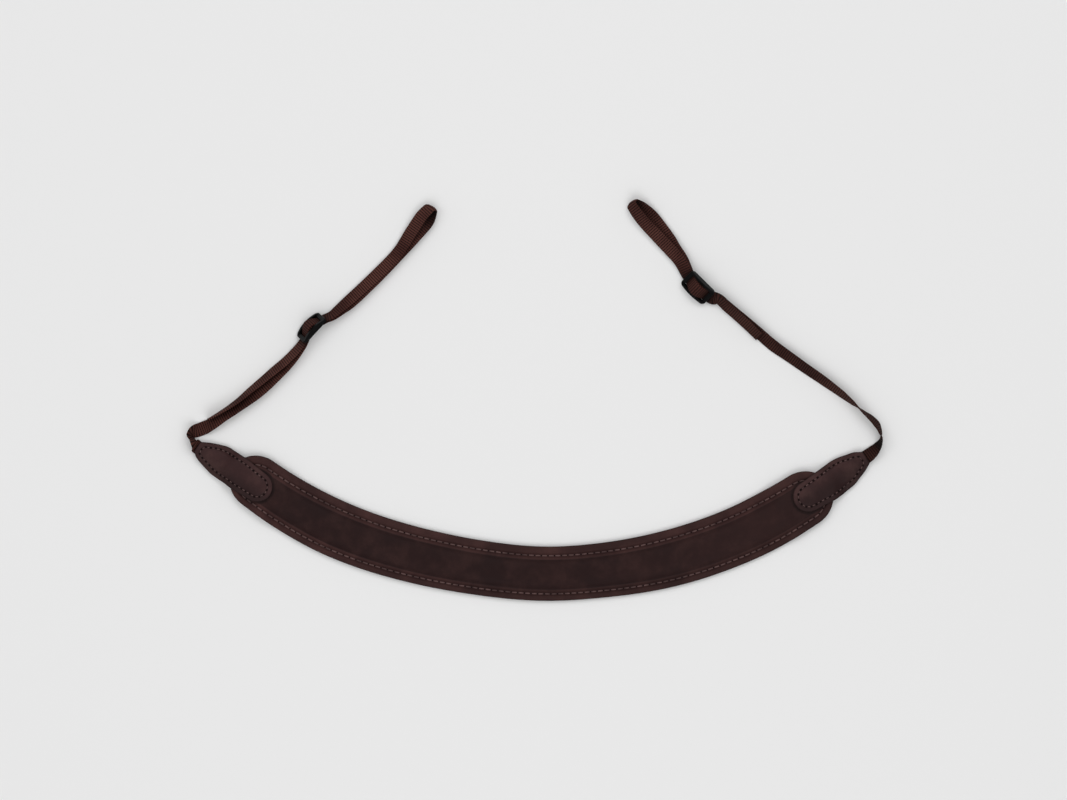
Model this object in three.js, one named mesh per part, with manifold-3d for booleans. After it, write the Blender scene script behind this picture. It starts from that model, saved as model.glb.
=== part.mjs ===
// A neck strap for binoculars, spread open on a flat surface. Millimetres, +Z up, floor at z = 0.
// A curved leather pad has a stitched tab at each end. From each tab runs a length of webbing that
// goes through a three-bar slide, turns round in a loop for the lug of the binoculars, and comes
// back through the slide to a free tail.
// Left is -X, right is +X, and the pad's curve opens towards +Y.

import * as THREE from "three";
import { mergeVertices } from "three/addons/utils/BufferGeometryUtils.js";
import Module from "manifold-3d";

const { Vector3 } = THREE;
const { degToRad, lerp, smoothstep } = THREE.MathUtils;

// ---------------------------------------------------------------- driving dimensions

const CENTRING = { x: -0.05, y: -0.32 }; // brings the middle of the whole over the origin
const GAP = 0.3; // air between neighbouring pieces
const TAB_GAP = 0.5; // the same between the pad's curved top and the tabs on it
const LEATHER = 1.6; // one layer of leather
const BACKING = 1.5; // the pad's under leather
const WEB = { width: 10, thickness: 1.1, step: 5 }; // step: longest distance between sections

// The pad is a band bent on a circle, with half-round ends. Angles are from straight down (-Y).
const PAD = {
  centre: { x: 8, y: 249 },
  radius: 377,
  tipStretch: 1.1,
  leftAngle: -34.4,
  rightAngle: 30.6,
  edgeRound: 0.4,
};

// How far the band's middle line wanders outwards from its circle and how wide half of it is,
// at an angle along it.
const PAD_LINE = [
  { angle: -34.4, out: -0.8, half: 19.7 },
  { angle: -30, out: 0.1, half: 20.4 },
  { angle: -24, out: 0.5, half: 21.0 },
  { angle: -14, out: -0.8, half: 20.7 },
  { angle: -8, out: -0.8, half: 20.3 },
  { angle: 0, out: 0.5, half: 20.1 },
  { angle: 6, out: 0.3, half: 20.2 },
  { angle: 14, out: 0.6, half: 21.0 },
  { angle: 22, out: 0.1, half: 21.1 },
  { angle: 26, out: -0.7, half: 21.2 },
  { angle: 30.6, out: -2.0, half: 20.6 },
];

// Section of the facing from its edge inwards: height over its own underside.
const FACING_PROFILE = [
  { inset: 0.0, height: 1.2 },
  { inset: 0.4, height: 1.6 },
  { inset: 5.6, height: 1.7 },
  { inset: 8.2, height: 1.45 },
  { inset: 8.9, height: 1.6 },
  { inset: 10.4, height: 2.9 },
  { inset: 13.0, height: 3.8 },
  { inset: 16.2, height: 4.3 },
  { inset: 19.5, height: 4.5 },
];

// The pad's ends ride up over the lower tabs, and the tabs' stitches press the padding down there.
const END_RISE = { height: LEATHER + GAP, from: 52, to: 37 };
const END_PRESS = { keep: 0.45, from: 44, to: 33 };

// Outlines of the two tabs, which are cut by hand: half widths to the right and left of a tab's
// axis, seen going outwards, at a distance from the centre of its round inner end.
const TAB_OUTLINES = {
  left: [
    { along: 0, right: 11.4, left: 11.4 },
    { along: 8, right: 11.9, left: 11.7 },
    { along: 16, right: 12.6, left: 12.1 },
    { along: 22, right: 12.5, left: 11.8 },
    { along: 28, right: 12.3, left: 11.9 },
    { along: 34, right: 12.1, left: 11.7 },
    { along: 40, right: 10.1, left: 10.4 },
    { along: 46, right: 7.6, left: 9 },
    { along: 50, right: 5.5, left: 7.3 },
    { along: 53.4, right: 3.5, left: 4.9 },
  ],
  right: [
    { along: 0, right: 11.4, left: 11.4 },
    { along: 8, right: 12.1, left: 11.7 },
    { along: 16, right: 12.9, left: 12.1 },
    { along: 22, right: 12.7, left: 12.4 },
    { along: 28, right: 12, left: 12.7 },
    { along: 34, right: 11.3, left: 12.1 },
    { along: 40, right: 9.2, left: 10.6 },
    { along: 46, right: 7.1, left: 9 },
    { along: 50, right: 5, left: 6.7 },
    { along: 51.6, right: 4.1, left: 5.8 },
  ],
};
const TAB = {
  end: 11.4,
  edgeRound: 0.4,
  webbingFrom: 37, // where the webbing between its layers starts, and how far off the axis it lies
  webbingAcross: 1.0,
  insets: [3, 6, 9], // where the upper leather's height is set, from its edge
  ramp: 9, // how far past the pad's edge the upper leather takes to come down
  seamStart: 6.4, // where it dips from the webbing to the seam, and where it has reached it
  seamEnd: 9.0,
};

// Three-bar slide: two side rails with arched tops, an end bar at each end and a low middle bar.
const SLIDE = {
  length: 23.6,
  width: 14.9,
  railWidth: 1.9,
  railEnd: 2.0, // rail height at its ends and in the middle
  railMiddle: 4.5,
  endBar: 3.2,
  middleBar: 4.0,
  barThickness: 1.2,
  endBarFloor: 0.8, // underside of the end bars over the rails' flat bottom
  corner: 0.5,
  planCorner: 2.6,
  webbingSpacing: 1.55, // from one layer's middle to the next one's
  webbingLift: 2.2, // how far the webbing's hump stands over the middle bar
  webbingSag: 0.4, // how much a millimetre it sinks from there on
  webbingFoot: 0.4, // how far before the end bars the hump has come down
};

// Each side: where its tab and slide lie, and the route of its webbing.
// heading: direction from the pad outwards, in degrees from +X. lean: how far the webbing or slide
// is rolled about its run, 0 flat, negative with the right-hand edge raised (seen going outwards).
// rise: height of its lowest edge over the floor.
const SIDES = {
  left: {
    tab: { x: -205, y: -64, heading: 145.7, length: 53.4, outline: TAB_OUTLINES.left },
    slide: { x: -164.1, y: 52.7, heading: 47.3, lean: -57, rise: 0.3 },
    run: [
      { x: -251.2, y: -32.5, lean: 60, rise: 0.4 },
      { x: -253.1, y: -29.0, lean: 74, rise: 0 },
      { x: -254.8, y: -25.9, lean: 66, rise: 0 },
      { x: -253.2, y: -23.5, lean: 50, rise: 0 },
      { x: -249.8, y: -22.6, lean: 12, rise: 0 },
      { x: -245.6, y: -21.1, lean: -2, rise: 0 },
      { x: -239.5, y: -18.3, lean: -30, rise: 0 },
      { x: -229.8, y: -12.3, lean: -46, rise: 0 },
      { x: -218.5, y: -5.1, lean: -50, rise: 0 },
      { x: -205.4, y: 4.1, lean: -47, rise: 0 },
      { x: -196.7, y: 11.6, lean: -46, rise: 0 },
      { x: -189.3, y: 18.9, lean: -46, rise: 0 },
      { x: -182.8, y: 25.5, lean: -47, rise: 0 },
      { x: -176.4, y: 33.2, lean: -50, rise: 0.2 },
      { x: -173.1, y: 37.9, lean: -53, rise: 0.6 },
    ],
    out: [
      { x: -149.4, y: 61.7, lean: -56, rise: 0.3 },
      { x: -142.9, y: 66.4, lean: -48, rise: 0 },
      { x: -135.6, y: 72.0, lean: -40, rise: 0 },
      { x: -116.0, y: 91.0, lean: -34, rise: 0 },
      { x: -99.5, y: 108.4, lean: -33, rise: 0 },
      { x: -87.7, y: 121.3, lean: -31, rise: 0 },
      { x: -78.5, y: 132.4, lean: -30, rise: 0 },
    ],
    turn: { x: -77.0, y: 140.9, heading: 60, lean: -34, rise: 0, radius: 2.4 },
    back: [
      { x: -83.4, y: 136.1, lean: -30, rise: 4.4 },
      { x: -91.5, y: 123.9, lean: -29, rise: 2.8 },
      { x: -100.7, y: 109.5, lean: -32, rise: 1.3 },
      { x: -117.2, y: 92.3, lean: -34, rise: 1.2 },
      { x: -137.2, y: 73.8, lean: -40, rise: 1.2 },
      { x: -144.0, y: 67.8, lean: -47, rise: 1.2 },
      { x: -150.1, y: 62.8, lean: -56, rise: 1.4 },
    ],
    tail: [
      { x: -177.7, y: 35.1, lean: -54, rise: 1.2 },
      { x: -185.0, y: 28.0, lean: -54, rise: 0.8 },
      { x: -192.2, y: 22.1, lean: -56, rise: 0.4 },
      { x: -200.3, y: 15.3, lean: -60, rise: 0 },
      { x: -210.3, y: 7.1, lean: -66, rise: 0 },
      { x: -220.4, y: -1.4, lean: -72, rise: 0 },
      { x: -230.8, y: -8.3, lean: -80, rise: 0.6 },
      { x: -241.6, y: -14.6, lean: -86, rise: 1.7 },
    ],
  },
  right: {
    tab: { x: 202.5, y: -71.4, heading: 33.2, length: 51.6, outline: TAB_OUTLINES.right },
    slide: { x: 121.2, y: 83.6, heading: 135.4, lean: -31, rise: 1.6 },
    run: [
      { x: 249.7, y: -38.7, lean: -30, rise: 0.6 },
      { x: 253.7, y: -34.3, lean: -57, rise: 0 },
      { x: 256.4, y: -28.8, lean: -84, rise: 0 },
      { x: 255.6, y: -23.5, lean: -104, rise: 0 },
      { x: 253.0, y: -17.8, lean: -117, rise: 0 },
      { x: 248.7, y: -13.2, lean: -112, rise: 0 },
      { x: 243.8, y: -9.3, lean: -101, rise: 0 },
      { x: 239.4, y: -5.5, lean: -90, rise: 0 },
      { x: 234.9, y: -1.8, lean: -76, rise: 0 },
      { x: 226.1, y: 5.2, lean: -62, rise: 0 },
      { x: 212.8, y: 14.9, lean: -51, rise: 0 },
      { x: 199.4, y: 24.1, lean: -47, rise: 0 },
      { x: 188.5, y: 31.8, lean: -43, rise: 0 },
      { x: 176.5, y: 40.3, lean: -36, rise: 0 },
      { x: 165.6, y: 49.7, lean: -38, rise: 0 },
      { x: 156.3, y: 57.8, lean: -42, rise: 0 },
      { x: 149.2, y: 63.8, lean: -45, rise: 0 },
      { x: 141.0, y: 71.0, lean: -50, rise: 0.1 },
      { x: 135.9, y: 75.4, lean: -52, rise: 0.1 },
    ],
    out: [
      { x: 109.0, y: 104.1, lean: -28, rise: 0.2 },
      { x: 104.0, y: 111.5, lean: -22, rise: 0 },
      { x: 99.8, y: 118.4, lean: -16, rise: 0 },
      { x: 93.8, y: 126.6, lean: -10, rise: 0 },
      { x: 86.5, y: 135.9, lean: -16, rise: 0 },
      { x: 79.6, y: 142.1, lean: -30, rise: 0 },
    ],
    turn: { x: 73.2, y: 144.7, heading: 125, lean: -45, rise: 0, radius: 2.2 },
    back: [
      { x: 75.5, y: 138.2, lean: -38, rise: 4.2 },
      { x: 81.4, y: 130.9, lean: -33, rise: 3.2 },
      { x: 89.4, y: 122.5, lean: -28, rise: 2.4 },
      { x: 96.3, y: 115.3, lean: -24, rise: 2.0 },
      { x: 101.9, y: 109.4, lean: -24, rise: 1.9 },
      { x: 107.7, y: 102.6, lean: -27, rise: 1.8 },
    ],
    tail: [
      { x: 135.5, y: 74.5, lean: -54, rise: 2.0 },
      { x: 142.7, y: 68.3, lean: -49, rise: 1.6 },
      { x: 150.2, y: 61.8, lean: -50, rise: 1.4 },
      { x: 158.1, y: 54.6, lean: -50, rise: 1.2 },
      { x: 166.2, y: 46.6, lean: -52, rise: 1.0 },
    ],
  },
};

const headingVector = (heading) =>
  new Vector3(Math.cos(degToRad(heading)), Math.sin(degToRad(heading)), 0);

// ---------------------------------------------------------------- closed solids from rings

// Two triangles or one across a ring at a time, from its first point to the point opposite.
function ladder(count, faces) {
  const mirror = (i) => (count - i) % count;
  for (let i = 0; i < count / 2; i++) {
    if (i + 1 < count / 2) faces(i, i + 1, mirror(i + 1));
    if (i > 0) faces(i, mirror(i + 1), mirror(i));
  }
}

// A closed solid whose skin runs through rings of equal length, each counter-clockwise seen from
// where the rings are heading. The first and last rings are closed across.
function skin(rings) {
  const count = rings[0].length;
  const last = (rings.length - 1) * count;
  const index = [];
  ladder(count, (a, b, c) => index.push(c, b, a));
  for (let start = 0; start < last; start += count) {
    for (let i = 0; i < count; i++) {
      const a = start + i;
      const b = start + ((i + 1) % count);
      index.push(a, b, b + count, a, b + count, a + count);
    }
  }
  ladder(count, (a, b, c) => index.push(last + a, last + b, last + c));
  const geometry = new THREE.BufferGeometry().setFromPoints(rings.flat());
  geometry.setIndex(index);
  geometry.computeVertexNormals();
  return geometry;
}

// A value from a table's column, on straight lines between its rows.
function lookUp(table, key, at, column) {
  const next = table.findIndex((row) => row[key] >= at);
  if (next < 0) return table.at(-1)[column];
  if (next === 0) return table[0][column];
  const a = table[next - 1];
  const b = table[next];
  return lerp(a[column], b[column], (at - a[key]) / (b[key] - a[key]));
}

// ---------------------------------------------------------------- pad

const FINE = { reach: 50, steps: 12, middleSteps: 24, quarter: 5 };

const halfWidth = (angle) => lookUp(PAD_LINE, "angle", angle, "half");

// Angle that a round end takes up beyond the angle it starts at.
const tipAngle = (angle) =>
  THREE.MathUtils.radToDeg((halfWidth(angle) * PAD.tipStretch) / PAD.radius);

// Radius of the pad's middle line at an angle along it.
function middleRadius(angle) {
  const next = Math.max(1, PAD_LINE.findIndex((row) => row.angle >= angle));
  const a = PAD_LINE[next - 1];
  const b = PAD_LINE[next];
  return PAD.radius + lerp(a.out, b.out, smoothstep(angle, a.angle, b.angle));
}

// A point of the pad's plan from its angle and its distance outwards from the middle line.
function padPoint(angle, out) {
  const a = degToRad(angle);
  const radius = middleRadius(angle) + out;
  return new Vector3(PAD.centre.x + radius * Math.sin(a), PAD.centre.y - radius * Math.cos(a), 0);
}

// Angles along the pad, close together near its ends.
function padAngles() {
  const reach = THREE.MathUtils.radToDeg(FINE.reach / PAD.radius);
  const marks = [PAD.leftAngle, PAD.leftAngle + reach, PAD.rightAngle - reach, PAD.rightAngle];
  const counts = [FINE.steps, FINE.middleSteps, FINE.steps];
  const angles = [PAD.leftAngle];
  counts.forEach((count, part) => {
    for (let i = 1; i <= count; i++) angles.push(lerp(marks[part], marks[part + 1], i / count));
  });
  return angles;
}

// How deep a point lies inside the pad's outline; negative outside it.
function padInset(x, y) {
  const dx = x - PAD.centre.x;
  const dy = PAD.centre.y - y;
  const angle = THREE.MathUtils.radToDeg(Math.atan2(dx, dy));
  const held = THREE.MathUtils.clamp(angle, PAD.leftAngle, PAD.rightAngle);
  const half = halfWidth(held);
  if (held === angle) return half - Math.abs(Math.hypot(dx, dy) - middleRadius(angle));
  const off = new Vector3(x, y, 0).sub(padPoint(held, 0));
  const along = off.dot(headingVector(held)) / PAD.tipStretch;
  return half - Math.hypot(along, off.dot(headingVector(held - 90)));
}

// Distance along the pad from a point to the nearer tip.
function fromTip(x, y) {
  const angle = THREE.MathUtils.radToDeg(Math.atan2(x - PAD.centre.x, PAD.centre.y - y));
  const left = angle - PAD.leftAngle + tipAngle(PAD.leftAngle);
  const right = PAD.rightAngle + tipAngle(PAD.rightAngle) - angle;
  return degToRad(Math.min(left, right)) * PAD.radius;
}

const padRise = (x, y) =>
  END_RISE.height * (1 - smoothstep(fromTip(x, y), END_RISE.to, END_RISE.from));

// Top of the facing over the floor at a point of the plan.
function facingTop(x, y) {
  const height = lookUp(FACING_PROFILE, "inset", padInset(x, y), "height");
  const keep = lerp(END_PRESS.keep, 1, smoothstep(fromTip(x, y), END_PRESS.to, END_PRESS.from));
  const pressed = height > LEATHER ? LEATHER + (height - LEATHER) * keep : height;
  return padRise(x, y) + BACKING + GAP + pressed;
}

// The pad's outline drawn in by an inset, counter-clockwise from the left tip.
function padRing(inset, heightAt) {
  const end = (angle, sense, turn) => {
    const b = degToRad(turn);
    const half = halfWidth(angle) - inset;
    return padPoint(angle, 0)
      .addScaledVector(headingVector(angle), sense * half * PAD.tipStretch * Math.cos(b))
      .addScaledVector(headingVector(angle - 90), half * Math.sin(b));
  };
  const turns = Array.from({ length: FINE.quarter }, (_, i) => (90 * i) / FINE.quarter);
  const angles = padAngles();
  const ring = [
    ...turns.map((turn) => end(PAD.leftAngle, -1, turn)),
    ...angles.map((angle) => padPoint(angle, halfWidth(angle) - inset)),
    ...turns.slice(1).reverse().map((turn) => end(PAD.rightAngle, 1, turn)),
    ...turns.map((turn) => end(PAD.rightAngle, 1, -turn)),
    ...angles.toReversed().map((angle) => padPoint(angle, inset - halfWidth(angle))),
    ...turns.slice(1).reverse().map((turn) => end(PAD.leftAngle, -1, -turn)),
  ];
  ring.forEach((point) => (point.z = heightAt(point.x, point.y)));
  return ring;
}

function padBacking() {
  const level = (height) => (x, y) => padRise(x, y) + height;
  return skin([
    padRing(0, level(0)),
    padRing(0, level(BACKING - PAD.edgeRound)),
    padRing(PAD.edgeRound, level(BACKING)),
  ]);
}

function padFacing() {
  const underside = (x, y) => padRise(x, y) + BACKING + GAP;
  const rings = FACING_PROFILE.map((row) => padRing(row.inset, facingTop));
  return skin([padRing(0, underside), ...rings]);
}

// ---------------------------------------------------------------- tabs

// A point of the plan from its distances along and across a tab's axis.
function tabPoint(place, along, across) {
  const a = degToRad(place.heading);
  const x = place.x + along * Math.cos(a) - across * Math.sin(a);
  const y = place.y + along * Math.sin(a) + across * Math.cos(a);
  return new Vector3(x, y, 0);
}

// The tab's outline, counter-clockwise from the tip of its round end, drawn in by an inset there
// and in proportion where it is wider or narrower.
// heightAt takes a point of the plan and its distance across the tab's axis.
function tabRing(place, inset, heightAt) {
  const steps = 12;
  const quarter = 5;
  const end = TAB.end - inset;
  const half = (along, side) => lookUp(place.outline, "along", along, side) * (end / TAB.end);
  const local = [];
  for (let i = 0; i < quarter; i++) {
    const turn = (Math.PI / 2) * (i / quarter);
    local.push([-end * Math.cos(turn), -end * Math.sin(turn)]);
  }
  for (let i = 0; i <= steps; i++) {
    const along = (place.length * i) / steps;
    local.push([along - (inset * i) / steps, -half(along, "right")]);
  }
  local.push([place.length - inset, 0]);
  for (let i = steps; i >= 0; i--) {
    const along = (place.length * i) / steps;
    local.push([along - (inset * i) / steps, half(along, "left")]);
  }
  for (let i = quarter - 1; i > 0; i--) {
    const turn = (Math.PI / 2) * (i / quarter);
    local.push([-end * Math.cos(turn), end * Math.sin(turn)]);
  }
  return local.map(([along, across]) => {
    const point = tabPoint(place, along, across);
    return point.setZ(heightAt(point.x, point.y, across));
  });
}

function tabLower(place) {
  return skin([
    tabRing(place, 0, () => 0),
    tabRing(place, 0, () => LEATHER - TAB.edgeRound),
    tabRing(place, TAB.edgeRound, () => LEATHER),
  ]);
}

// Underside of the upper tab: on the pad, then down over its edge, over the webbing and at the
// sides down to the seam with the lower tab.
function tabUnderside(x, y, across) {
  const inset = padInset(x, y);
  const seam = LEATHER + GAP;
  const overWebbing = seam + WEB.thickness + GAP;
  const dip = smoothstep(Math.abs(across - TAB.webbingAcross), TAB.seamStart, TAB.seamEnd);
  const past = lerp(overWebbing, seam, dip);
  if (inset > 0) return facingTop(x, y) + TAB_GAP;
  const edge = END_RISE.height + BACKING + GAP + FACING_PROFILE[0].height + TAB_GAP;
  return lerp(past, edge, smoothstep(inset, -TAB.ramp, 0));
}

function tabUpper(place) {
  const under = [...TAB.insets.toReversed(), 0].map((inset) => tabRing(place, inset, tabUnderside));
  const shoulder = (x, y, across) => tabUnderside(x, y, across) + LEATHER - TAB.edgeRound;
  const top = (x, y, across) => tabUnderside(x, y, across) + LEATHER;
  const over = [TAB.edgeRound, ...TAB.insets].map((inset) => tabRing(place, inset, top));
  return skin([...under, tabRing(place, 0, shoulder), ...over]);
}

// ---------------------------------------------------------------- slide

const manifold = await Module();
manifold.setup();

function toManifold(geometry) {
  const bare = geometry.clone().deleteAttribute("normal").deleteAttribute("uv");
  const merged = mergeVertices(bare, 1e-4);
  return new manifold.Manifold(
    new manifold.Mesh({
      numProp: 3,
      vertProperties: merged.attributes.position.array,
      triVerts: new Uint32Array(merged.index.array),
    }),
  );
}

function fromManifold(solid) {
  const mesh = solid.getMesh();
  const geometry = new THREE.BufferGeometry();
  geometry.setAttribute("position", new THREE.BufferAttribute(mesh.vertProperties, 3));
  geometry.setIndex(new THREE.BufferAttribute(mesh.triVerts, 1));
  geometry.computeVertexNormals();
  return geometry;
}

// A block extruded along local z from the given shape, centred on z = at.
function slideBlock(shape, depth, at) {
  const geometry = new THREE.ExtrudeGeometry(shape, {
    depth,
    bevelEnabled: false,
    curveSegments: 8,
  });
  return toManifold(geometry.translate(0, 0, at - depth / 2));
}

function railShape() {
  const half = SLIDE.length / 2;
  const c = SLIDE.corner;
  const shape = new THREE.Shape().moveTo(c - half, 0).lineTo(half - c, 0);
  shape.quadraticCurveTo(half, 0, half, c).lineTo(half, SLIDE.railEnd - c);
  shape.quadraticCurveTo(half, SLIDE.railEnd, half - c, SLIDE.railEnd);
  shape.quadraticCurveTo(0, 2 * SLIDE.railMiddle - SLIDE.railEnd, c - half, SLIDE.railEnd);
  shape.quadraticCurveTo(-half, SLIDE.railEnd, -half, SLIDE.railEnd - c).lineTo(-half, c);
  return shape.quadraticCurveTo(-half, 0, c - half, 0);
}

// A bar's section: a rectangle with rounded corners, from its left and low edges.
function barShape(left, low, width) {
  const right = left + width;
  const high = low + SLIDE.barThickness;
  const c = SLIDE.corner;
  const shape = new THREE.Shape().moveTo(left + c, low).lineTo(right - c, low);
  shape.quadraticCurveTo(right, low, right, low + c).lineTo(right, high - c);
  shape.quadraticCurveTo(right, high, right - c, high).lineTo(left + c, high);
  shape.quadraticCurveTo(left, high, left, high - c).lineTo(left, low + c);
  return shape.quadraticCurveTo(left, low, left + c, low);
}

// The slide in its own frame: x along the strap, y up from its flat bottom, z across.
function slideSolid() {
  const half = SLIDE.length / 2;
  const inner = SLIDE.width - 2 * SLIDE.railWidth;
  const railAt = (SLIDE.width - SLIDE.railWidth) / 2;
  const bars = [
    barShape(-half, SLIDE.endBarFloor, SLIDE.endBar),
    barShape(-SLIDE.middleBar / 2, 0, SLIDE.middleBar),
    barShape(half - SLIDE.endBar, SLIDE.endBarFloor, SLIDE.endBar),
  ];
  const joined = [
    slideBlock(railShape(), SLIDE.railWidth, railAt),
    slideBlock(railShape(), SLIDE.railWidth, -railAt),
    ...bars.map((shape) => slideBlock(shape, inner + SLIDE.railWidth, 0)),
  ].reduce((whole, block) => whole.add(block));
  return joined.intersect(slidePlan());
}

// The slide's outline seen on its face, a rectangle with rounded corners, as a tall block.
function slidePlan() {
  const x = SLIDE.length / 2;
  const z = SLIDE.width / 2;
  const r = SLIDE.planCorner;
  const shape = new THREE.Shape().moveTo(r - x, -z).lineTo(x - r, -z);
  shape.absarc(x - r, r - z, r, -Math.PI / 2, 0).lineTo(x, z - r);
  shape.absarc(x - r, z - r, r, 0, Math.PI / 2).lineTo(r - x, z);
  shape.absarc(r - x, z - r, r, Math.PI / 2, Math.PI).lineTo(-x, r - z);
  shape.absarc(r - x, r - z, r, Math.PI, 1.5 * Math.PI);
  const depth = 3 * SLIDE.railMiddle;
  const tall = new THREE.ExtrudeGeometry(shape, { depth, bevelEnabled: false, curveSegments: 4 });
  return toManifold(tall.translate(0, 0, -depth / 2).rotateX(Math.PI / 2));
}

// The slide's frame in the strap: along the strap, normal to the slide, across to its left edge.
function slideFrame(slide) {
  const along = headingVector(slide.heading);
  const across = acrossVector(along, slide.lean);
  const normal = along.clone().cross(across);
  const height = slide.rise + (SLIDE.width / 2) * Math.abs(Math.sin(degToRad(slide.lean)));
  return { along, across, normal, origin: new Vector3(slide.x, slide.y, height) };
}

// ---------------------------------------------------------------- webbing

// Direction towards the left-hand edge of something that runs along `outwards` and leans.
function acrossVector(outwards, lean) {
  const left = new Vector3(-outwards.y, outwards.x, 0).normalize();
  return left.multiplyScalar(Math.cos(degToRad(lean))).setZ(Math.sin(degToRad(lean)));
}

// Stations of the webbing from a table's rows. sense is 1 where the rows go outwards from the
// pad, -1 where they come back.
function stations(rows, sense) {
  return rows.map((row, i) => {
    const before = rows[Math.max(i - 1, 0)];
    const after = rows[Math.min(i + 1, rows.length - 1)];
    const outwards = new Vector3(after.x - before.x, after.y - before.y, 0).multiplyScalar(sense);
    const lean = degToRad(row.lean);
    const z =
      row.rise +
      (WEB.width / 2) * Math.abs(Math.sin(lean)) +
      (WEB.thickness / 2) * Math.abs(Math.cos(lean));
    return { centre: new Vector3(row.x, row.y, z), across: acrossVector(outwards, row.lean) };
  });
}

// Stations of the stretch that is sewn flat between the layers of a tab.
function inTab(place) {
  const outwards = headingVector(place.heading);
  const z = LEATHER + GAP + WEB.thickness / 2;
  const middle = (TAB.webbingFrom + place.length) / 2;
  return [TAB.webbingFrom, middle, place.length].map((along) => ({
    centre: tabPoint(place, along, TAB.webbingAcross).setZ(z),
    across: acrossVector(outwards, 0),
  }));
}

// Height of the lower webbing's middle over the slide's bottom at a distance from its middle bar:
// a hump that comes down to both feet with the slope that it goes on with under the end bars.
function humpHeight(distance) {
  const low = SLIDE.endBarFloor - GAP - WEB.thickness / 2 - SLIDE.webbingSpacing;
  const high = SLIDE.barThickness + GAP + WEB.thickness / 2 + SLIDE.webbingLift;
  const foot = SLIDE.length / 2 - SLIDE.endBar - SLIDE.webbingFoot;
  if (distance > foot) return low - SLIDE.webbingSag * (distance - foot);
  const t = distance / foot;
  const ease = t * t * (3 - 2 * t);
  return lerp(high, low, ease) + SLIDE.webbingSag * foot * t * t * (1 - t);
}

// Stations through the slide: under an end bar, over the middle bar, under the other end bar.
// layer 0 runs over the middle bar, layer 1 over layer 0.
function throughSlide(slide, layer) {
  const { along, across, normal, origin } = slideFrame(slide);
  const height = (u) => humpHeight(Math.abs(u));
  const reach = SLIDE.length / 2;
  const steps = 14;
  const result = [];
  for (let i = 0; i <= steps; i++) {
    const u = lerp(-reach, reach, i / steps);
    const slope = (height(u + 0.05) - height(u - 0.05)) / 0.1;
    const offset = (layer * SLIDE.webbingSpacing) / Math.hypot(1, slope);
    const centre = origin
      .clone()
      .addScaledVector(along, u - slope * offset)
      .addScaledVector(normal, height(u) + offset);
    result.push({ centre, across: across.clone() });
  }
  return result;
}

// Stations of the turn at the loop's end, a half circle over its middle.
function loopTurn(turn) {
  const along = headingVector(turn.heading);
  const across = acrossVector(along, turn.lean);
  const normal = along.clone().cross(across);
  const lean = degToRad(turn.lean);
  const low = (WEB.width / 2) * Math.abs(Math.sin(lean)) + (WEB.thickness / 2) * Math.cos(lean);
  const middle = new Vector3(turn.x, turn.y, turn.rise + low + turn.radius * normal.z);
  return [0, 30, 60, 90, 120, 150, 180].map((angle) => {
    const a = degToRad(angle);
    const centre = middle
      .clone()
      .addScaledVector(normal, -turn.radius * Math.cos(a))
      .addScaledVector(along, turn.radius * Math.sin(a));
    return { centre, across: across.clone() };
  });
}

// A flat strip of webbing through all its stations, smooth between them.
function webbing(side) {
  const route = [
    ...inTab(side.tab),
    ...stations(side.run, 1),
    ...throughSlide(side.slide, 0),
    ...stations(side.out, 1),
    ...loopTurn(side.turn),
    ...stations(side.back, -1),
    ...throughSlide(side.slide, 1).reverse(),
    ...stations(side.tail, -1),
  ];
  const path = new THREE.CatmullRomCurve3(route.map((station) => station.centre));
  const spans = route.length - 1;
  const rings = [];
  for (let span = 0; span < spans; span++) {
    const length = route[span].centre.distanceTo(route[span + 1].centre);
    const steps = Math.ceil(length / WEB.step);
    for (let i = 0; i < steps; i++) rings.push(section(path, route, span + i / steps));
  }
  rings.push(section(path, route, spans));
  return skin(rings);
}

// The four corners of the strip at a place of its route, counted in stations.
function section(path, route, place) {
  const spans = route.length - 1;
  const span = Math.min(Math.floor(place), spans - 1);
  const centre = path.getPoint(place / spans);
  const tangent = path.getTangent(place / spans);
  const across = route[span].across.clone().lerp(route[span + 1].across, place - span);
  across.addScaledVector(tangent, -across.dot(tangent)).normalize();
  const normal = tangent.clone().cross(across);
  const corner = (side, face) =>
    centre
      .clone()
      .addScaledVector(across, (side * WEB.width) / 2)
      .addScaledVector(normal, (face * WEB.thickness) / 2);
  const corners = [corner(1, -1), corner(1, 1), corner(-1, 1), corner(-1, -1)];
  const under = Math.max(0, ...corners.map((point) => -point.z));
  corners.forEach((point) => (point.z += under));
  return corners;
}

// ---------------------------------------------------------------- materials

const material = (color, roughness) =>
  new THREE.MeshStandardMaterial({ color, roughness, metalness: 0 });
const facingLeather = material(0x2e1f1c, 0.62);
const backingLeather = material(0x33231f, 0.75);
const tabLeather = material(0x382725, 0.66);
const webbingFabric = material(0x45241e, 0.85);
const slidePlastic = material(0x18181a, 0.38);

// ---------------------------------------------------------------- assembly

const strap = new THREE.Group();

function addPiece(name, geometry, finish) {
  const mesh = new THREE.Mesh(geometry, finish);
  mesh.name = name;
  mesh.position.set(CENTRING.x, CENTRING.y, 0);
  strap.add(mesh);
  return mesh;
}

addPiece("pad_backing", padBacking(), backingLeather);
addPiece("pad_facing", padFacing(), facingLeather);
const slideGeometry = fromManifold(slideSolid());
for (const [name, side] of Object.entries(SIDES)) {
  addPiece(`tab_lower_${name}`, tabLower(side.tab), tabLeather);
  addPiece(`tab_upper_${name}`, tabUpper(side.tab), tabLeather);
  addPiece(`webbing_${name}`, webbing(side), webbingFabric);
  const frame = slideFrame(side.slide);
  const slide = addPiece(`slide_${name}`, slideGeometry, slidePlastic);
  const basis = new THREE.Matrix4().makeBasis(frame.along, frame.normal, frame.across.negate());
  slide.position.add(frame.origin);
  slide.quaternion.setFromRotationMatrix(basis);
}

export default strap;
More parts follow.
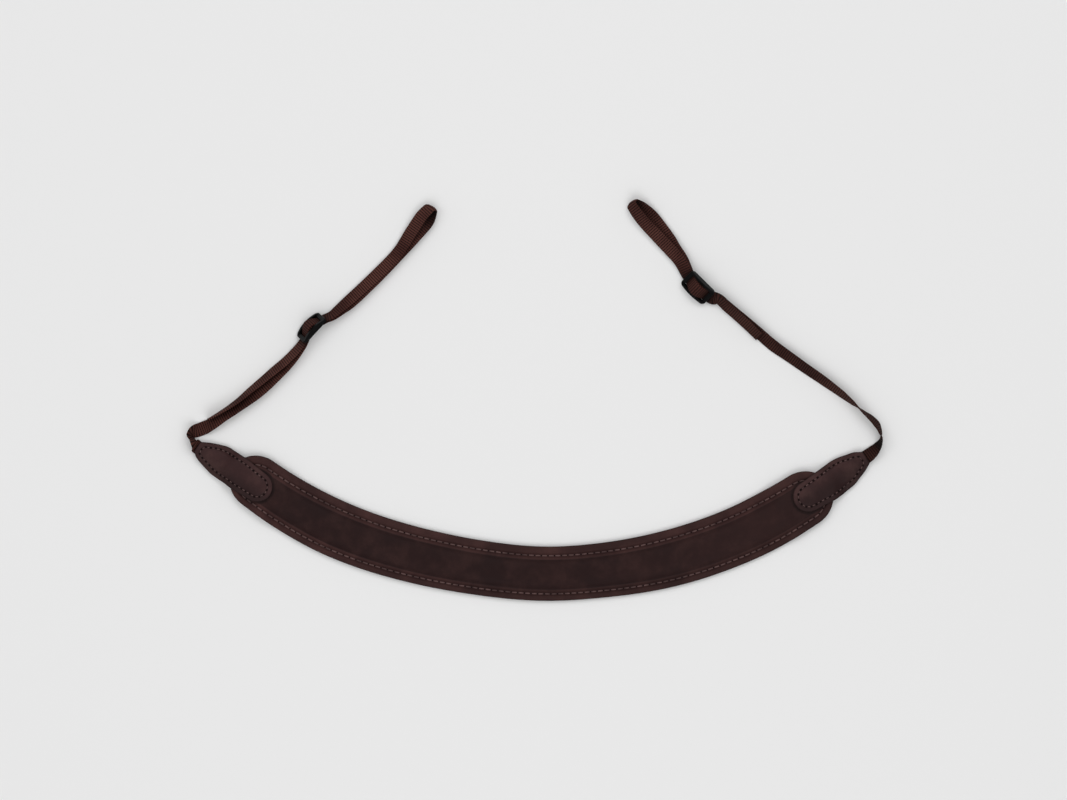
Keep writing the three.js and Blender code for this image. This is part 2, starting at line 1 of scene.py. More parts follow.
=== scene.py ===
# A neck strap for binoculars, spread open: a padded leather neck piece, a stitched leather tab at
# each end, and webbing that runs through a three-bar slide, round a loop and back.
# Sizes are in millimetres until a mesh is made; left is -X, right is +X.

import math
from bisect import bisect_left

import bmesh
import bpy
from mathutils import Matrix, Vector


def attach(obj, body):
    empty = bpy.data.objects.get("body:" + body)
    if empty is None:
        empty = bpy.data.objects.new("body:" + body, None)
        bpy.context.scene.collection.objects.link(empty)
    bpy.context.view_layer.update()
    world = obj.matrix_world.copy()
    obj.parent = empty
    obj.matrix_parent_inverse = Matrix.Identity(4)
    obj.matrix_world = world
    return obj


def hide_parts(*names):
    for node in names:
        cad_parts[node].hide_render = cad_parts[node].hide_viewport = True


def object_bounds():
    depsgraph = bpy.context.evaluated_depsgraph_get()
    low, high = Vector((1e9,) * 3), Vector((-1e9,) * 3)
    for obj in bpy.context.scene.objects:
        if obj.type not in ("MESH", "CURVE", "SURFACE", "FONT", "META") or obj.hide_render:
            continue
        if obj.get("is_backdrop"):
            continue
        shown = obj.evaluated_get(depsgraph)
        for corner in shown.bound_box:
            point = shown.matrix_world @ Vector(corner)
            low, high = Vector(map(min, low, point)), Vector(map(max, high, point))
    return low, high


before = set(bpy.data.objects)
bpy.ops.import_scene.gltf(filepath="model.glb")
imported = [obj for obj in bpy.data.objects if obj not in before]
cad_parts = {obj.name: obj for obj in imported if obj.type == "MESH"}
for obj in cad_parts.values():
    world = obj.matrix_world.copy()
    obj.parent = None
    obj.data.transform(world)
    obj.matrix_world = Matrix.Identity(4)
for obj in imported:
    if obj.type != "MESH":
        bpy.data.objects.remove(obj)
model_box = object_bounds()

MM = 0.001
# added to every place, so that the strap is centred on the origin
CENTRING = Vector((-0.05, -0.32, 0.0))

# -------- sizes

LEATHER = 1.6
BACKING = 1.5
GAP = 0.3
TAB_GAP = 0.5
WEB_WIDTH = 10.0
WEB_THICKNESS = 1.1

PAD_CENTRE = Vector((8.0, 249.0, 0.0))
PAD_RADIUS = 377.0
TIP_STRETCH = 1.1
LEFT_ANGLE = -34.4
RIGHT_ANGLE = 30.6

# angle along the pad, drift of its middle line outwards, half its width
PAD_LINE = [
    (-34.4, -0.8, 19.7),
    (-30.0, 0.1, 20.4),
    (-24.0, 0.5, 21.0),
    (-14.0, -0.8, 20.7),
    (-8.0, -0.8, 20.3),
    (0.0, 0.5, 20.1),
    (6.0, 0.3, 20.2),
    (14.0, 0.6, 21.0),
    (22.0, 0.1, 21.1),
    (26.0, -0.7, 21.2),
    (30.6, -2.0, 20.6),
]

# distance in from the pad's edge, height of the facing's top over its own underside
FACING_PROFILE = [
    (0.0, 0.95),
    (0.12, 1.26),
    (0.5, 1.52),
    (1.2, 1.7),
    (2.4, 1.86),
    (3.6, 1.86),
    (4.6, 1.68),
    (5.4, 1.42),
    (6.0, 1.3),
    (6.6, 1.42),
    (7.4, 1.68),
    (8.2, 1.86),
    (8.9, 1.92),
    (9.3, 1.9),
    (9.8, 2.2),
    (10.6, 2.7),
    (11.8, 3.3),
    (13.2, 3.75),
    (16.2, 4.25),
    (19.5, 4.5),
]
# the rings of the facing's underside (distance in, place on the map), how high it lies on the
# backing, how wide its rounded edge is, and how far apart its rings are at most
FACING_UNDER = [(2.0, -1.5), (0.25, -1.0)]
FACING_SEAT = 0.12
FACING_EDGE = 0.5
FACING_STEP = 0.7
PAD_SEAM = 6.0
PANEL_EDGE = 9.3
# how far the pad's seam and panel lie outwards of even, and the insets between which that comes
DRIFT = (0.8, 0.5, 5.0)
# how far the lower tabs lift the pad's ends, and where that fades, from the tip
END_RISE = (LEATHER + GAP, 37.0, 52.0)
# the share of its padding that the facing keeps inside the tabs, and where it gets the rest back
END_PRESS = (0.45, 33.0, 44.0)

# a cut slab: its thickness, how far in its flat faces reach, the heights of the two rings that ease
# its lower edge, and how far in its upper edge is eased
BACKING_CUT = (BACKING, 2.5, 0.25, 0.5, 0.35)
# for every slab: how far in its lower edge is eased, how far in the rings next to its edge lie, how
# far under its top the upper one of these lies, and the places of its rings on the map
SLAB_EASE = (0.3, 0.05, 0.2)
SLAB_MAP = [-0.3, 0, 0.3, 1.3, 1.6, 2, 4]

# distance along a tab from the centre of its round end, half width to the right, to the left
LEFT_TAB = [
    (0.0, 11.4, 11.4),
    (8.0, 11.9, 11.7),
    (16.0, 12.6, 12.1),
    (22.0, 12.5, 11.8),
    (28.0, 12.3, 11.9),
    (34.0, 12.1, 11.7),
    (40.0, 10.1, 10.4),
    (46.0, 7.6, 9.0),
    (50.0, 5.5, 7.3),
    (53.4, 3.5, 4.9),
]
RIGHT_TAB = [
    (0.0, 11.4, 11.4),
    (8.0, 12.1, 11.7),
    (16.0, 12.9, 12.1),
    (22.0, 12.7, 12.4),
    (28.0, 12.0, 12.7),
    (34.0, 11.3, 12.1),
    (40.0, 9.2, 10.6),
    (46.0, 7.1, 9.0),
    (50.0, 5.0, 6.7),
    (51.6, 4.1, 5.8),
]
# distance in from the upper tab's edge, height of its top over its own underside
TAB_PROFILE = [
    (0.0, 1.0),
    (0.12, 1.3),
    (0.4, 1.52),
    (1.0, 1.6),
    (2.2, 1.62),
    (3.0, 1.54),
    (3.5, 1.38),
    (3.9, 1.26),
    (4.3, 1.38),
    (4.9, 1.58),
    (5.8, 1.72),
    (7.4, 1.86),
    (9.5, 1.95),
    (11.4, 1.98),
]
# how far in the rings of the upper tab's underside and of its top lie
TAB_UNDER_INSETS = [10.8, 9.0, 7.4, 6.0, 4.8, 3.4, 2.0, 0.8, 0.2]
TAB_TOP_INSETS = [0.0, 0.12, 0.4, 1.0, 1.7, 2.4, 3.0, 3.5, 3.9, 4.3, 4.8, 5.4, 6.2, 7.2, 8.2, 9.2]
TAB_TOP_INSETS += [10.2, 11.0]
TAB_LOWER_CUT = (LEATHER, 4.0, 0.2, 0.45, 0.3)
TAB_END = 11.4
TAB_EVEN_INSET = 4.8
TAB_NARROWEST = 0.3
TAB_SEAM = 3.9
TAB_SINK = 0.2
TAB_RAMP = 9.0
TAB_WEBBING_FROM = 37.0
TAB_WEBBING_ACROSS = 1.0
# the distances from the webbing's middle between which the upper tab comes down beside it
TAB_DIP = (6.4, 9.0)

SLIDE_LENGTH = 23.6
SLIDE_WIDTH = 14.9
SLIDE_END_BAR = 3.2
SLIDE_BAR_THICKNESS = 1.2
SLIDE_END_BAR_FLOOR = 0.8
SLIDE_WEBBING_SPACING = 1.55
SLIDE_WEBBING_LIFT = 2.2
SLIDE_WEBBING_SAG = 0.4
SLIDE_WEBBING_FOOT = 0.4
SLIDE_STATIONS = 15
SLOPE_STEP = 0.05
LOOP_DRAWN_BACK = 1.2
# the moulding, in metres and degrees: how near corners are one, how far a flat face may turn, how
# wide an eased edge is, and how sharp an edge has to be
SLIDE_WELD = 0.000002
SLIDE_FLAT_ANGLE = 1
SLIDE_EASE = 0.00022
SLIDE_EASE_ANGLE = 35

# the largest step between rings, the step for its direction as a share of a span, and how far its
# twist lags at each station
WEB_STEP = 0.8
TANGENT_STEP = 0.002
EASE_SHARE = 0.35
# the pitch of the webbing's ribs and of its yarns
RIB_PITCH = 1.75
YARN_PITCH = 1.7
# how much painted shade darkens the webbing at the slide's bars, where it leaves the tab and in its
# crease, and how dark it gets at most; how far the first two reach; and the stretches of x over
# which it gets darker to the right, and by how much
BAR_SHADE = 0.75
MOUTH_SHADE = 0.45
CREASE_SHADE = 0.6
MOST_DARKENING = 0.92
BAR_SHADE_REACH = 4.2
MOUTH_REACH = 24.0
RIGHT_DARKENING = [(0.0, 40.0, 0.1), (105.0, 140.0, 0.25)]

# each row of stitches, in metres: a stitch's length, the radius of the thread and of the awl hole,
# how high a stitch bows, how deep its ends sink; how far it is turned, in radians; its seed
STITCH_SIZES = ("Stitch", "Thread", "Hole", "Crest", "Sink", "Unevenness", "Seed")
PAD_STITCHES = dict(zip(STITCH_SIZES, (0.0033, 0.0006, 0.0007, 0.00055, 0.00035, 0.05, 3)))
TAB_STITCHES = dict(zip(STITCH_SIZES, (0.0024, 0.0004, 0.0011, 0.0005, 0.00035, 0.06, 11)))
PAD_STITCH_SPACING = 4.95
TAB_STITCH_SPACING = 3.9
# an awl hole's depth as a share of its width
HOLE_DEPTH = 0.32

# a line along the middle of both tabs, in metres, below which the leather is painted with shade:
# its slant against y and x, and its distance from the origin
TAB_SHADE_SLANT = (0.83, 0.556)
TAB_SHADE_OFFSET = 0.1695

FLOOR_REACH = 3000.0
DAYLIGHT = 0.45
# the camera looks straight down; its numbers are in metres, and its sensor's in millimetres
SENSOR_WIDTH = 36.0
CAMERA_PLACE = (-0.00079, -0.00032, 6.0)
VIEW_WIDTH = 0.78958

# Each side: its tab's place, heading, length and outline; its slide's place, heading, lean and
# rise; and its webbing's route in rows of x, y, lean, rise. The run goes from the tab to the slide,
# the way out on to the loop, the turn is the loop's end (place, heading, lean, rise, radius), and
# the way back and the tail follow. A lean below 0 raises the right-hand edge, seen going outwards
# from the pad; the rise is that of the lowest edge. The hollow shade is how much painted shade
# darkens the inside of the loop's end, and how far that reaches; the crease shade is where painted
# shade darkens the webbing's crease as it turns over near the tab, and how far that reaches.
SIDES = {
    "left": {
        "tab": (-205.0, -64.0, 145.7, 53.4, LEFT_TAB),
        "slide": (-164.1, 52.7, 47.3, -57.0, 0.3),
        "run": [
            (-251.2, -32.5, 60, 0.4),
            (-253.1, -29.0, 74, 0.0),
            (-254.8, -25.9, 66, 0.0),
            (-253.2, -23.5, 50, 0.0),
            (-249.8, -22.6, 12, 0.0),
            (-245.6, -21.1, -2, 0.0),
            (-239.5, -18.3, -30, 0.0),
            (-229.8, -12.3, -46, 0.0),
            (-218.5, -5.1, -50, 0.0),
            (-205.4, 4.1, -47, 0.0),
            (-196.7, 11.6, -46, 0.0),
            (-189.3, 18.9, -46, 0.0),
            (-182.8, 25.5, -47, 0.0),
            (-176.4, 33.2, -50, 0.2),
            (-173.1, 37.9, -53, 0.6),
        ],
        "out": [
            (-149.4, 61.7, -56, 0.3),
            (-142.9, 66.4, -48, 0.0),
            (-135.6, 72.0, -40, 0.0),
            (-116.0, 91.0, -34, 0.0),
            (-99.5, 108.4, -33, 0.0),
            (-87.7, 121.3, -31, 0.0),
            (-78.5, 132.4, -30, 0.0),
        ],
        "turn": (-77.0, 140.9, 60.0, -34.0, 0.0, 2.4),
        "hollow_shade": (0.95, 14.0),
        "crease_shade": (-252.6, -26.3, 2.4),
        "back": [
            (-83.4, 136.1, -30, 4.4),
            (-91.5, 123.9, -29, 2.8),
            (-100.7, 109.5, -32, 1.3),
            (-117.2, 92.3, -34, 1.2),
            (-137.2, 73.8, -40, 1.2),
            (-144.0, 67.8, -47, 1.2),
            (-150.1, 62.8, -56, 1.4),
        ],
        "tail": [
            (-177.7, 35.1, -54, 1.2),
            (-185.0, 28.0, -54, 0.8),
            (-192.2, 22.1, -56, 0.4),
            (-200.3, 15.3, -60, 0.0),
            (-210.3, 7.1, -66, 0.0),
            (-220.4, -1.4, -72, 0.0),
            (-230.8, -8.3, -80, 0.6),
            (-241.6, -14.6, -86, 1.7),
        ],
    },
    "right": {
        "tab": (202.5, -71.4, 33.2, 51.6, RIGHT_TAB),
        "slide": (121.2, 83.6, 135.4, -31.0, 1.6),
        "run": [
            (249.7, -38.7, -30, 0.6),
            (253.7, -34.3, -57, 0.0),
            (256.4, -28.8, -84, 0.0),
            (255.6, -23.5, -104, 0.0),
            (253.0, -17.8, -117, 0.0),
            (248.7, -13.2, -112, 0.0),
            (243.8, -9.3, -101, 0.0),
            (239.4, -5.5, -90, 0.0),
            (234.9, -1.8, -76, 0.0),
            (226.1, 5.2, -62, 0.0),
            (212.8, 14.9, -51, 0.0),
            (199.4, 24.1, -47, 0.0),
            (188.5, 31.8, -43, 0.0),
            (176.5, 40.3, -36, 0.0),
            (165.6, 49.7, -38, 0.0),
            (156.3, 57.8, -42, 0.0),
            (149.2, 63.8, -45, 0.0),
            (141.0, 71.0, -50, 0.1),
            (135.9, 75.4, -52, 0.1),
        ],
        "out": [
            (109.0, 104.1, -28, 0.2),
            (104.0, 111.5, -22, 0.0),
            (99.8, 118.4, -16, 0.0),
            (93.8, 126.6, -10, 0.0),
            (86.5, 135.9, -16, 0.0),
            (79.6, 142.1, -30, 0.0),
        ],
        "turn": (73.2, 144.7, 125.0, -45.0, 0.0, 2.2),
        "hollow_shade": (0.7, 7.0),
        "crease_shade": (254.5, -31.5, 4.0),
        "back": [
            (75.5, 138.2, -38, 4.2),
            (81.4, 130.9, -33, 3.2),
            (89.4, 122.5, -28, 2.4),
            (96.3, 115.3, -24, 2.0),
            (101.9, 109.4, -24, 1.9),
            (107.7, 102.6, -27, 1.8),
        ],
        "tail": [
            (135.5, 74.5, -54, 2.0),
            (142.7, 68.3, -49, 1.6),
            (150.2, 61.8, -50, 1.4),
            (158.1, 54.6, -50, 1.2),
            (166.2, 46.6, -52, 1.0),
        ],
    },
}


# -------- small helpers


def lerp(a, b, t):
    return a + (b - a) * t


def smoothstep(x, low, high):
    t = min(max((x - low) / (high - low), 0.0), 1.0)
    return t * t * (3 - 2 * t)


def heading_vector(degrees):
    a = math.radians(degrees)
    return Vector((math.cos(a), math.sin(a), 0.0))


def left_of(way):
    """A quarter turn to the left of a way, and level."""
    return Vector((-way.y, way.x, 0.0))


def smooth_column(table, at, column):
    """A value from a table's column on a smooth curve through its rows."""
    keys = [row[0] for row in table]
    i = min(max(bisect_left(keys, at), 1), len(table) - 1)

    def slope(k):
        low, high = max(k - 1, 0), min(k + 1, len(table) - 1)
        return (table[high][column] - table[low][column]) / (keys[high] - keys[low])

    span = keys[i] - keys[i - 1]
    t = min(max((at - keys[i - 1]) / span, 0.0), 1.0)
    a, b = table[i - 1][column], table[i][column]
    return (
        a * (1 + 2 * t) * (1 - t) ** 2
        + slope(i - 1) * span * t * (1 - t) ** 2
        + b * t * t * (3 - 2 * t)
        + slope(i) * span * t * t * (t - 1)
    )


def new_object(name, data):
    obj = bpy.data.objects.new(name, data)
    bpy.context.scene.collection.objects.link(obj)
    return obj


def mesh_object(name, points, faces, uvs=None):
    """An object from points in millimetres. uvs places each face's corners on the map."""
    mesh = bpy.data.meshes.new(name)
    mesh.from_pydata([(point + CENTRING) * MM for point in points], [], faces)
    if uvs:
        layer = mesh.uv_layers.new(name="lay")
        flat = [number for corners in uvs for corner in corners for number in corner]
        layer.data.foreach_set("uv", flat)
    mesh.shade_smooth()
    return new_object(name, mesh)


def ladder(count):
    """Faces across a ring, from its first point to the point opposite."""
    for i in range(count // 2):
        a, b = (count - i) % count, count - i - 1
        quad = [i, i + 1, b, a]
        yield [k for n, k in enumerate(quad) if k not in quad[:n]]


def skin(name, rings, around, through, strip=False):
    """A closed solid through rings of equal length. around[i] places a ring's point on the map and
    through[k] a ring, both in millimetres: as u and v, and on a strip as v and u."""
    count = len(rings[0])
    faces = []
    uvs = []

    def corner(i, k):
        place = (around[i] * MM, through[k] * MM)
        return place[::-1] if strip else place

    for k in range(len(rings) - 1):
        a, b = k * count, (k + 1) * count
        for i in range(count):
            j = (i + 1) % count
            faces.append((a + i, a + j, b + j, b + i))
            uvs.append([corner(i, k), corner(i + 1, k), corner(i + 1, k + 1), corner(i, k + 1)])
    last = (len(rings) - 1) * count
    for rung in ladder(count):
        faces.append(tuple(reversed(rung)))
        uvs.append([corner(i, 0) for i in reversed(rung)])
        faces.append(tuple(last + i for i in rung))
        uvs.append([corner(i, -1) for i in rung])
    return mesh_object(name, [point for ring in rings for point in ring], faces, uvs)


def ring_lengths(ring):
    """Distance round a closed ring at each of its points, with its whole length at the end."""
    total = [0.0]
    for i, point in enumerate(ring):
        total.append(total[-1] + (ring[(i + 1) % len(ring)] - point).length)
    return total


def slab(name, cut, ring_at):
    """A cut slab with eased edges, from rings of an inset and a height."""
    top, reach, low, side, shoulder = cut
    ease, edge, drop = SLAB_EASE
    layers = [(reach, 0.0), (ease, 0.0), (edge, low), (0.0, side)]
    layers += [(0.0, top - side), (edge, top - drop), (shoulder, top), (reach, top)]
    rings = [ring_at(inset, height) for inset, height in layers]
    return skin(name, rings, ring_lengths(rings[3]), [-reach, *SLAB_MAP])


# -------- the pad's form


def half_width(angle):
    return smooth_column(PAD_LINE, angle, 2)


def tip_angle(angle):
    return math.degrees(half_width(angle) * TIP_STRETCH / PAD_RADIUS)


def pad_point(angle, out):
    radius = PAD_RADIUS + smooth_column(PAD_LINE, angle, 1) + out
    a = math.radians(angle)
    return PAD_CENTRE + Vector((radius * math.sin(a), -radius * math.cos(a), 0.0))


def pad_angle(point):
    off = point - PAD_CENTRE
    return math.degrees(math.atan2(off.x, -off.y))


def pad_inset(point):
    """How deep a point lies inside the pad's outline; negative outside it."""
    angle = pad_angle(point)
    held = min(max(angle, LEFT_ANGLE), RIGHT_ANGLE)
    half = half_width(held)
    if held == angle:
        out = (point - PAD_CENTRE).xy.length - PAD_RADIUS - smooth_column(PAD_LINE, angle, 1)
        return half - abs(out)
    off = point - pad_point(held, 0)
    along = off.dot(heading_vector(held)) / TIP_STRETCH
    return half - math.hypot(along, off.dot(heading_vector(held - 90)))


def from_tip(point):
    angle = pad_angle(point)
    left = angle - LEFT_ANGLE + tip_angle(LEFT_ANGLE)
    right = RIGHT_ANGLE + tip_angle(RIGHT_ANGLE) - angle
    return math.radians(min(left, right)) * PAD_RADIUS


def pad_rise(point):
    return END_RISE[0] * (1 - smoothstep(from_tip(point), *END_RISE[1:]))


def facing_top(point, inset):
    height = smooth_column(FACING_PROFILE, inset, 1)
    keep = lerp(END_PRESS[0], 1, smoothstep(from_tip(point), *END_PRESS[1:]))
    if height > LEATHER:
        height = LEATHER + (height - LEATHER) * keep
    return pad_rise(point) + BACKING + GAP + height


PAD_STEPS = 190
PAD_QUARTER = 14


def pad_ring(inset, height_at):
    """The pad's outline drawn in by an inset, counter-clockwise from the left tip. The seam and
    the panel sit a little nearer to the outer edge."""
    drift = DRIFT[0] * smoothstep(inset, *DRIFT[1:])

    def end(angle, sense, turn):
        half = half_width(angle) - inset
        b = math.radians(turn)
        along = heading_vector(angle) * (sense * half * TIP_STRETCH * math.cos(b))
        return pad_point(angle, drift) + along + heading_vector(angle - 90) * (half * math.sin(b))

    turns = [90 * i / PAD_QUARTER for i in range(PAD_QUARTER)]
    angles = [lerp(LEFT_ANGLE, RIGHT_ANGLE, i / PAD_STEPS) for i in range(PAD_STEPS + 1)]
    ring = [end(LEFT_ANGLE, -1, turn) for turn in turns]
    ring += [pad_point(angle, half_width(angle) - inset + drift) for angle in angles]
    ring += [end(RIGHT_ANGLE, 1, turn) for turn in reversed(turns[1:])]
    ring += [end(RIGHT_ANGLE, 1, -turn) for turn in turns]
    ring += [pad_point(angle, inset - half_width(angle) + drift) for angle in reversed(angles)]
    ring += [end(LEFT_ANGLE, -1, -turn) for turn in reversed(turns[1:])]
    for point in ring:
        point.z = height_at(point, inset)
    return ring


def facing_seat(point, inset):
    return pad_rise(point) + BACKING + FACING_SEAT


def pad_facing():
    insets = []
    for (a, _), (b, _) in zip(FACING_PROFILE, FACING_PROFILE[1:]):
        parts = max(1, math.ceil((b - a) / FACING_STEP))
        insets += [lerp(a, b, i / parts) for i in range(parts)]
    insets.append(FACING_PROFILE[-1][0])
    rings = [pad_ring(inset, facing_seat) for inset, _ in FACING_UNDER]
    rings += [pad_ring(inset, facing_top) for inset in insets]
    places = [place for _, place in FACING_UNDER] + insets
    return skin("pad_facing_leather", rings, ring_lengths(rings[1]), places)


def pad_backing():
    def ring_at(inset, height):
        return pad_ring(inset, lambda point, inset: pad_rise(point) + height)

    return slab("pad_backing_leather", BACKING_CUT, ring_at)


# -------- the tabs' form

TAB_STEPS = 40
TAB_QUARTER = 12


def tab_half(place, along, inset, column):
    """A tab's half width drawn in by an inset: evenly near the edge, then in proportion."""
    length, outline = place[3:]
    held = min(inset, TAB_EVEN_INSET)
    half = smooth_column(outline, along * (1 - held / length), column) - held
    return max(half, TAB_NARROWEST) * (TAB_END - inset) / (TAB_END - held)


def tab_point(place, along, across):
    x, y, heading = place[:3]
    out = heading_vector(heading)
    return Vector((x, y, 0.0)) + out * along + left_of(out) * across


def tab_ring(place, inset, height_at):
    """A tab's outline drawn in by an inset, counter-clockwise from the tip of its round end."""
    end = TAB_END - inset
    length = place[3]

    def half(sense, column):
        """One side of the outline, from the tip of the round end to the other end."""
        turns = [math.pi / 2 * i / TAB_QUARTER for i in range(TAB_QUARTER)]
        points = [(-end * math.cos(turn), sense * end * math.sin(turn)) for turn in turns]
        for i in range(TAB_STEPS + 1):
            along = length * i / TAB_STEPS
            across = sense * tab_half(place, along, inset, column)
            points.append((along - inset * i / TAB_STEPS, across))
        return points

    right, left = half(-1, 1), half(1, 2)
    middle = (length - inset, (left[-1][1] + right[-1][1]) / 2)
    ring = []
    for along, across in right + [middle] + left[:0:-1]:
        point = tab_point(place, along, across)
        point.z = height_at(point, across, inset)
        ring.append(point)
    return ring


def tab_underside(point, across):
    """The height that the upper tab lies at: on the pad, over its edge and the webbing, and down
    to the seam with the lower tab."""
    flat_top = BACKING + GAP + LEATHER
    inset = pad_inset(point)
    if inset > 0:
        top = facing_top(point, max(inset, FACING_EDGE))
        return max(top, pad_rise(point) + flat_top) + TAB_GAP
    seam = LEATHER + GAP
    over_webbing = seam + WEB_THICKNESS + GAP
    dip = smoothstep(abs(across - TAB_WEBBING_ACROSS), *TAB_DIP)
    past = lerp(over_webbing, seam, dip)
    return lerp(past, END_RISE[0] + flat_top + TAB_GAP, smoothstep(inset, -TAB_RAMP, 0.0))


def tab_top(point, across, inset):
    return tab_underside(point, across) + smooth_column(TAB_PROFILE, inset, 1)


def tab_upper(name, place):
    def under(point, across, inset):
        return tab_underside(point, across) - TAB_SINK

    rings = [tab_ring(place, inset, under) for inset in TAB_UNDER_INSETS]
    rings += [tab_ring(place, inset, tab_top) for inset in TAB_TOP_INSETS]
    around = ring_lengths(rings[len(TAB_UNDER_INSETS)])
    return skin(name, rings, around, [-inset - 1 for inset in TAB_UNDER_INSETS] + TAB_TOP_INSETS)


def tab_lower(name, place):
    def ring_at(inset, height):
        return tab_ring(place, inset, lambda point, across, inset: height)

    return slab(name, TAB_LOWER_CUT, ring_at)


# -------- the webbing's route


# A station of the webbing is its middle, the way across it towards its left edge, and how far its
# edges are drawn back.


def across_vector(outwards, lean):
    a = math.radians(lean)
    return left_of(outwards).normalized() * math.cos(a) + Vector((0.0, 0.0, math.sin(a)))


def half_height(lean):
    """How high the middle of leaning webbing is over its lowest edge."""
    a = math.radians(lean)
    return WEB_WIDTH / 2 * abs(math.sin(a)) + WEB_THICKNESS / 2 * abs(math.cos(a))


def stations(rows, sense):
    result = []
    for i, (x, y, lean, rise) in enumerate(rows):
        before = rows[max(i - 1, 0)]
        after = rows[min(i + 1, len(rows) - 1)]
        outwards = Vector((after[0] - before[0], after[1] - before[1], 0.0)) * sense
        centre = Vector((x, y, rise + half_height(lean)))
        result.append((centre, across_vector(outwards, lean), Vector()))
    return result


def in_tab(place):
    result = []
    for along in (TAB_WEBBING_FROM, (TAB_WEBBING_FROM + place[3]) / 2, place[3]):
        centre = tab_point(place, along, TAB_WEBBING_ACROSS)
        centre.z = LEATHER + GAP + WEB_THICKNESS / 2
        result.append((centre, left_of(heading_vector(place[2])), Vector()))
    return result


def slide_frame(slide):
    x, y, heading, lean, rise = slide
    along = heading_vector(heading)
    across = across_vector(along, lean)
    height = rise + SLIDE_WIDTH / 2 * abs(math.sin(math.radians(lean)))
    return Vector((x, y, height)), along, along.cross(across), across


def hump_height(distance):
    """Height of the lower webbing's middle over the slide's bottom at a distance from its middle
    bar: a hump that comes down to both feet with the slope it goes on with under the end bars."""
    low = SLIDE_END_BAR_FLOOR - GAP - WEB_THICKNESS / 2 - SLIDE_WEBBING_SPACING
    high = SLIDE_BAR_THICKNESS + GAP + WEB_THICKNESS / 2 + SLIDE_WEBBING_LIFT
    foot = SLIDE_LENGTH / 2 - SLIDE_END_BAR - SLIDE_WEBBING_FOOT
    if distance > foot:
        return low - SLIDE_WEBBING_SAG * (distance - foot)
    t = distance / foot
    return lerp(high, low, smoothstep(t, 0, 1)) + SLIDE_WEBBING_SAG * foot * t * t * (1 - t)


def through_slide(slide, layer):
    origin, along, normal, across = slide_frame(slide)
    result = []
    for i in range(SLIDE_STATIONS):
        u = lerp(-SLIDE_LENGTH / 2, SLIDE_LENGTH / 2, i / (SLIDE_STATIONS - 1))
        gain = hump_height(abs(u + SLOPE_STEP)) - hump_height(abs(u - SLOPE_STEP))
        slope = gain / (2 * SLOPE_STEP)
        offset = layer * SLIDE_WEBBING_SPACING / math.hypot(1, slope)
        centre = origin + along * (u - slope * offset) + normal * (hump_height(abs(u)) + offset)
        result.append((centre, across, Vector()))
    return result


def loop_turn(turn):
    """Half a circle at the loop's end, its edges drawn back so that the tip is rounded."""
    x, y, heading, lean, rise, radius = turn
    along = heading_vector(heading)
    across = across_vector(along, lean)
    normal = along.cross(across)
    middle = Vector((x, y, rise + half_height(lean) + radius * normal.z))
    result = []
    for angle in range(0, 181, 30):
        b = math.radians(angle)
        centre = middle - normal * (radius * math.cos(b)) + along * (radius * math.sin(b))
        result.append((centre, across, along * (-LOOP_DRAWN_BACK * math.sin(b))))
    return result


def webbing_route(side):
    return (
        in_tab(side["tab"])
        + stations(side["run"], 1)
        + through_slide(side["slide"], 0)
        + stations(side["out"], 1)
        + loop_turn(side["turn"])
        + stations(side["back"], -1)
        + through_slide(side["slide"], 1)[::-1]
        + stations(side["tail"], -1)
    )


def curve_point(points, span, t):
    """A point on the smooth curve through the points, spaced by the root of their distances."""
    p1, p2 = points[span], points[span + 1]
    p0 = points[span - 1] if span > 0 else p1 * 2 - p2
    p3 = points[span + 2] if span + 2 < len(points) else p2 * 2 - p1
    d0, d1, d2 = (math.sqrt((b - a).length) for a, b in ((p0, p1), (p1, p2), (p2, p3)))
    t1 = ((p1 - p0) / d0 - (p2 - p0) / (d0 + d1) + (p2 - p1) / d1) * d1
    t2 = ((p2 - p1) / d1 - (p3 - p1) / (d1 + d2) + (p3 - p2) / d2) * d1
    c2 = (p2 - p1) * 3 - t1 * 2 - t2
    c3 = (p1 - p2) * 2 + t1 + t2
    return p1 + t1 * t + c2 * (t * t) + c3 * (t * t * t)


# the webbing's upper face as shares of its width and thickness, from its left edge seen against its
# run, with rounded selvedges; the other face is the same, turned over
WEB_SELVEDGE = [(0.5, 0.22), (0.486, 0.42), (0.455, 0.5), (0.25, 0.48)]
WEB_FACE = WEB_SELVEDGE + [(0.0, 0.47)] + [(-x, y) for x, y in reversed(WEB_SELVEDGE)]
WEB_OTHER_FACE = [(-x, -y) for x, y in WEB_FACE]
WEB_SECTION = WEB_OTHER_FACE[-1:] + WEB_FACE + WEB_OTHER_FACE[:-1]


def fading(distance, reach):
    """1 at a place, fading smoothly with the distance from it."""
    return math.exp(-((distance / reach) ** 2))


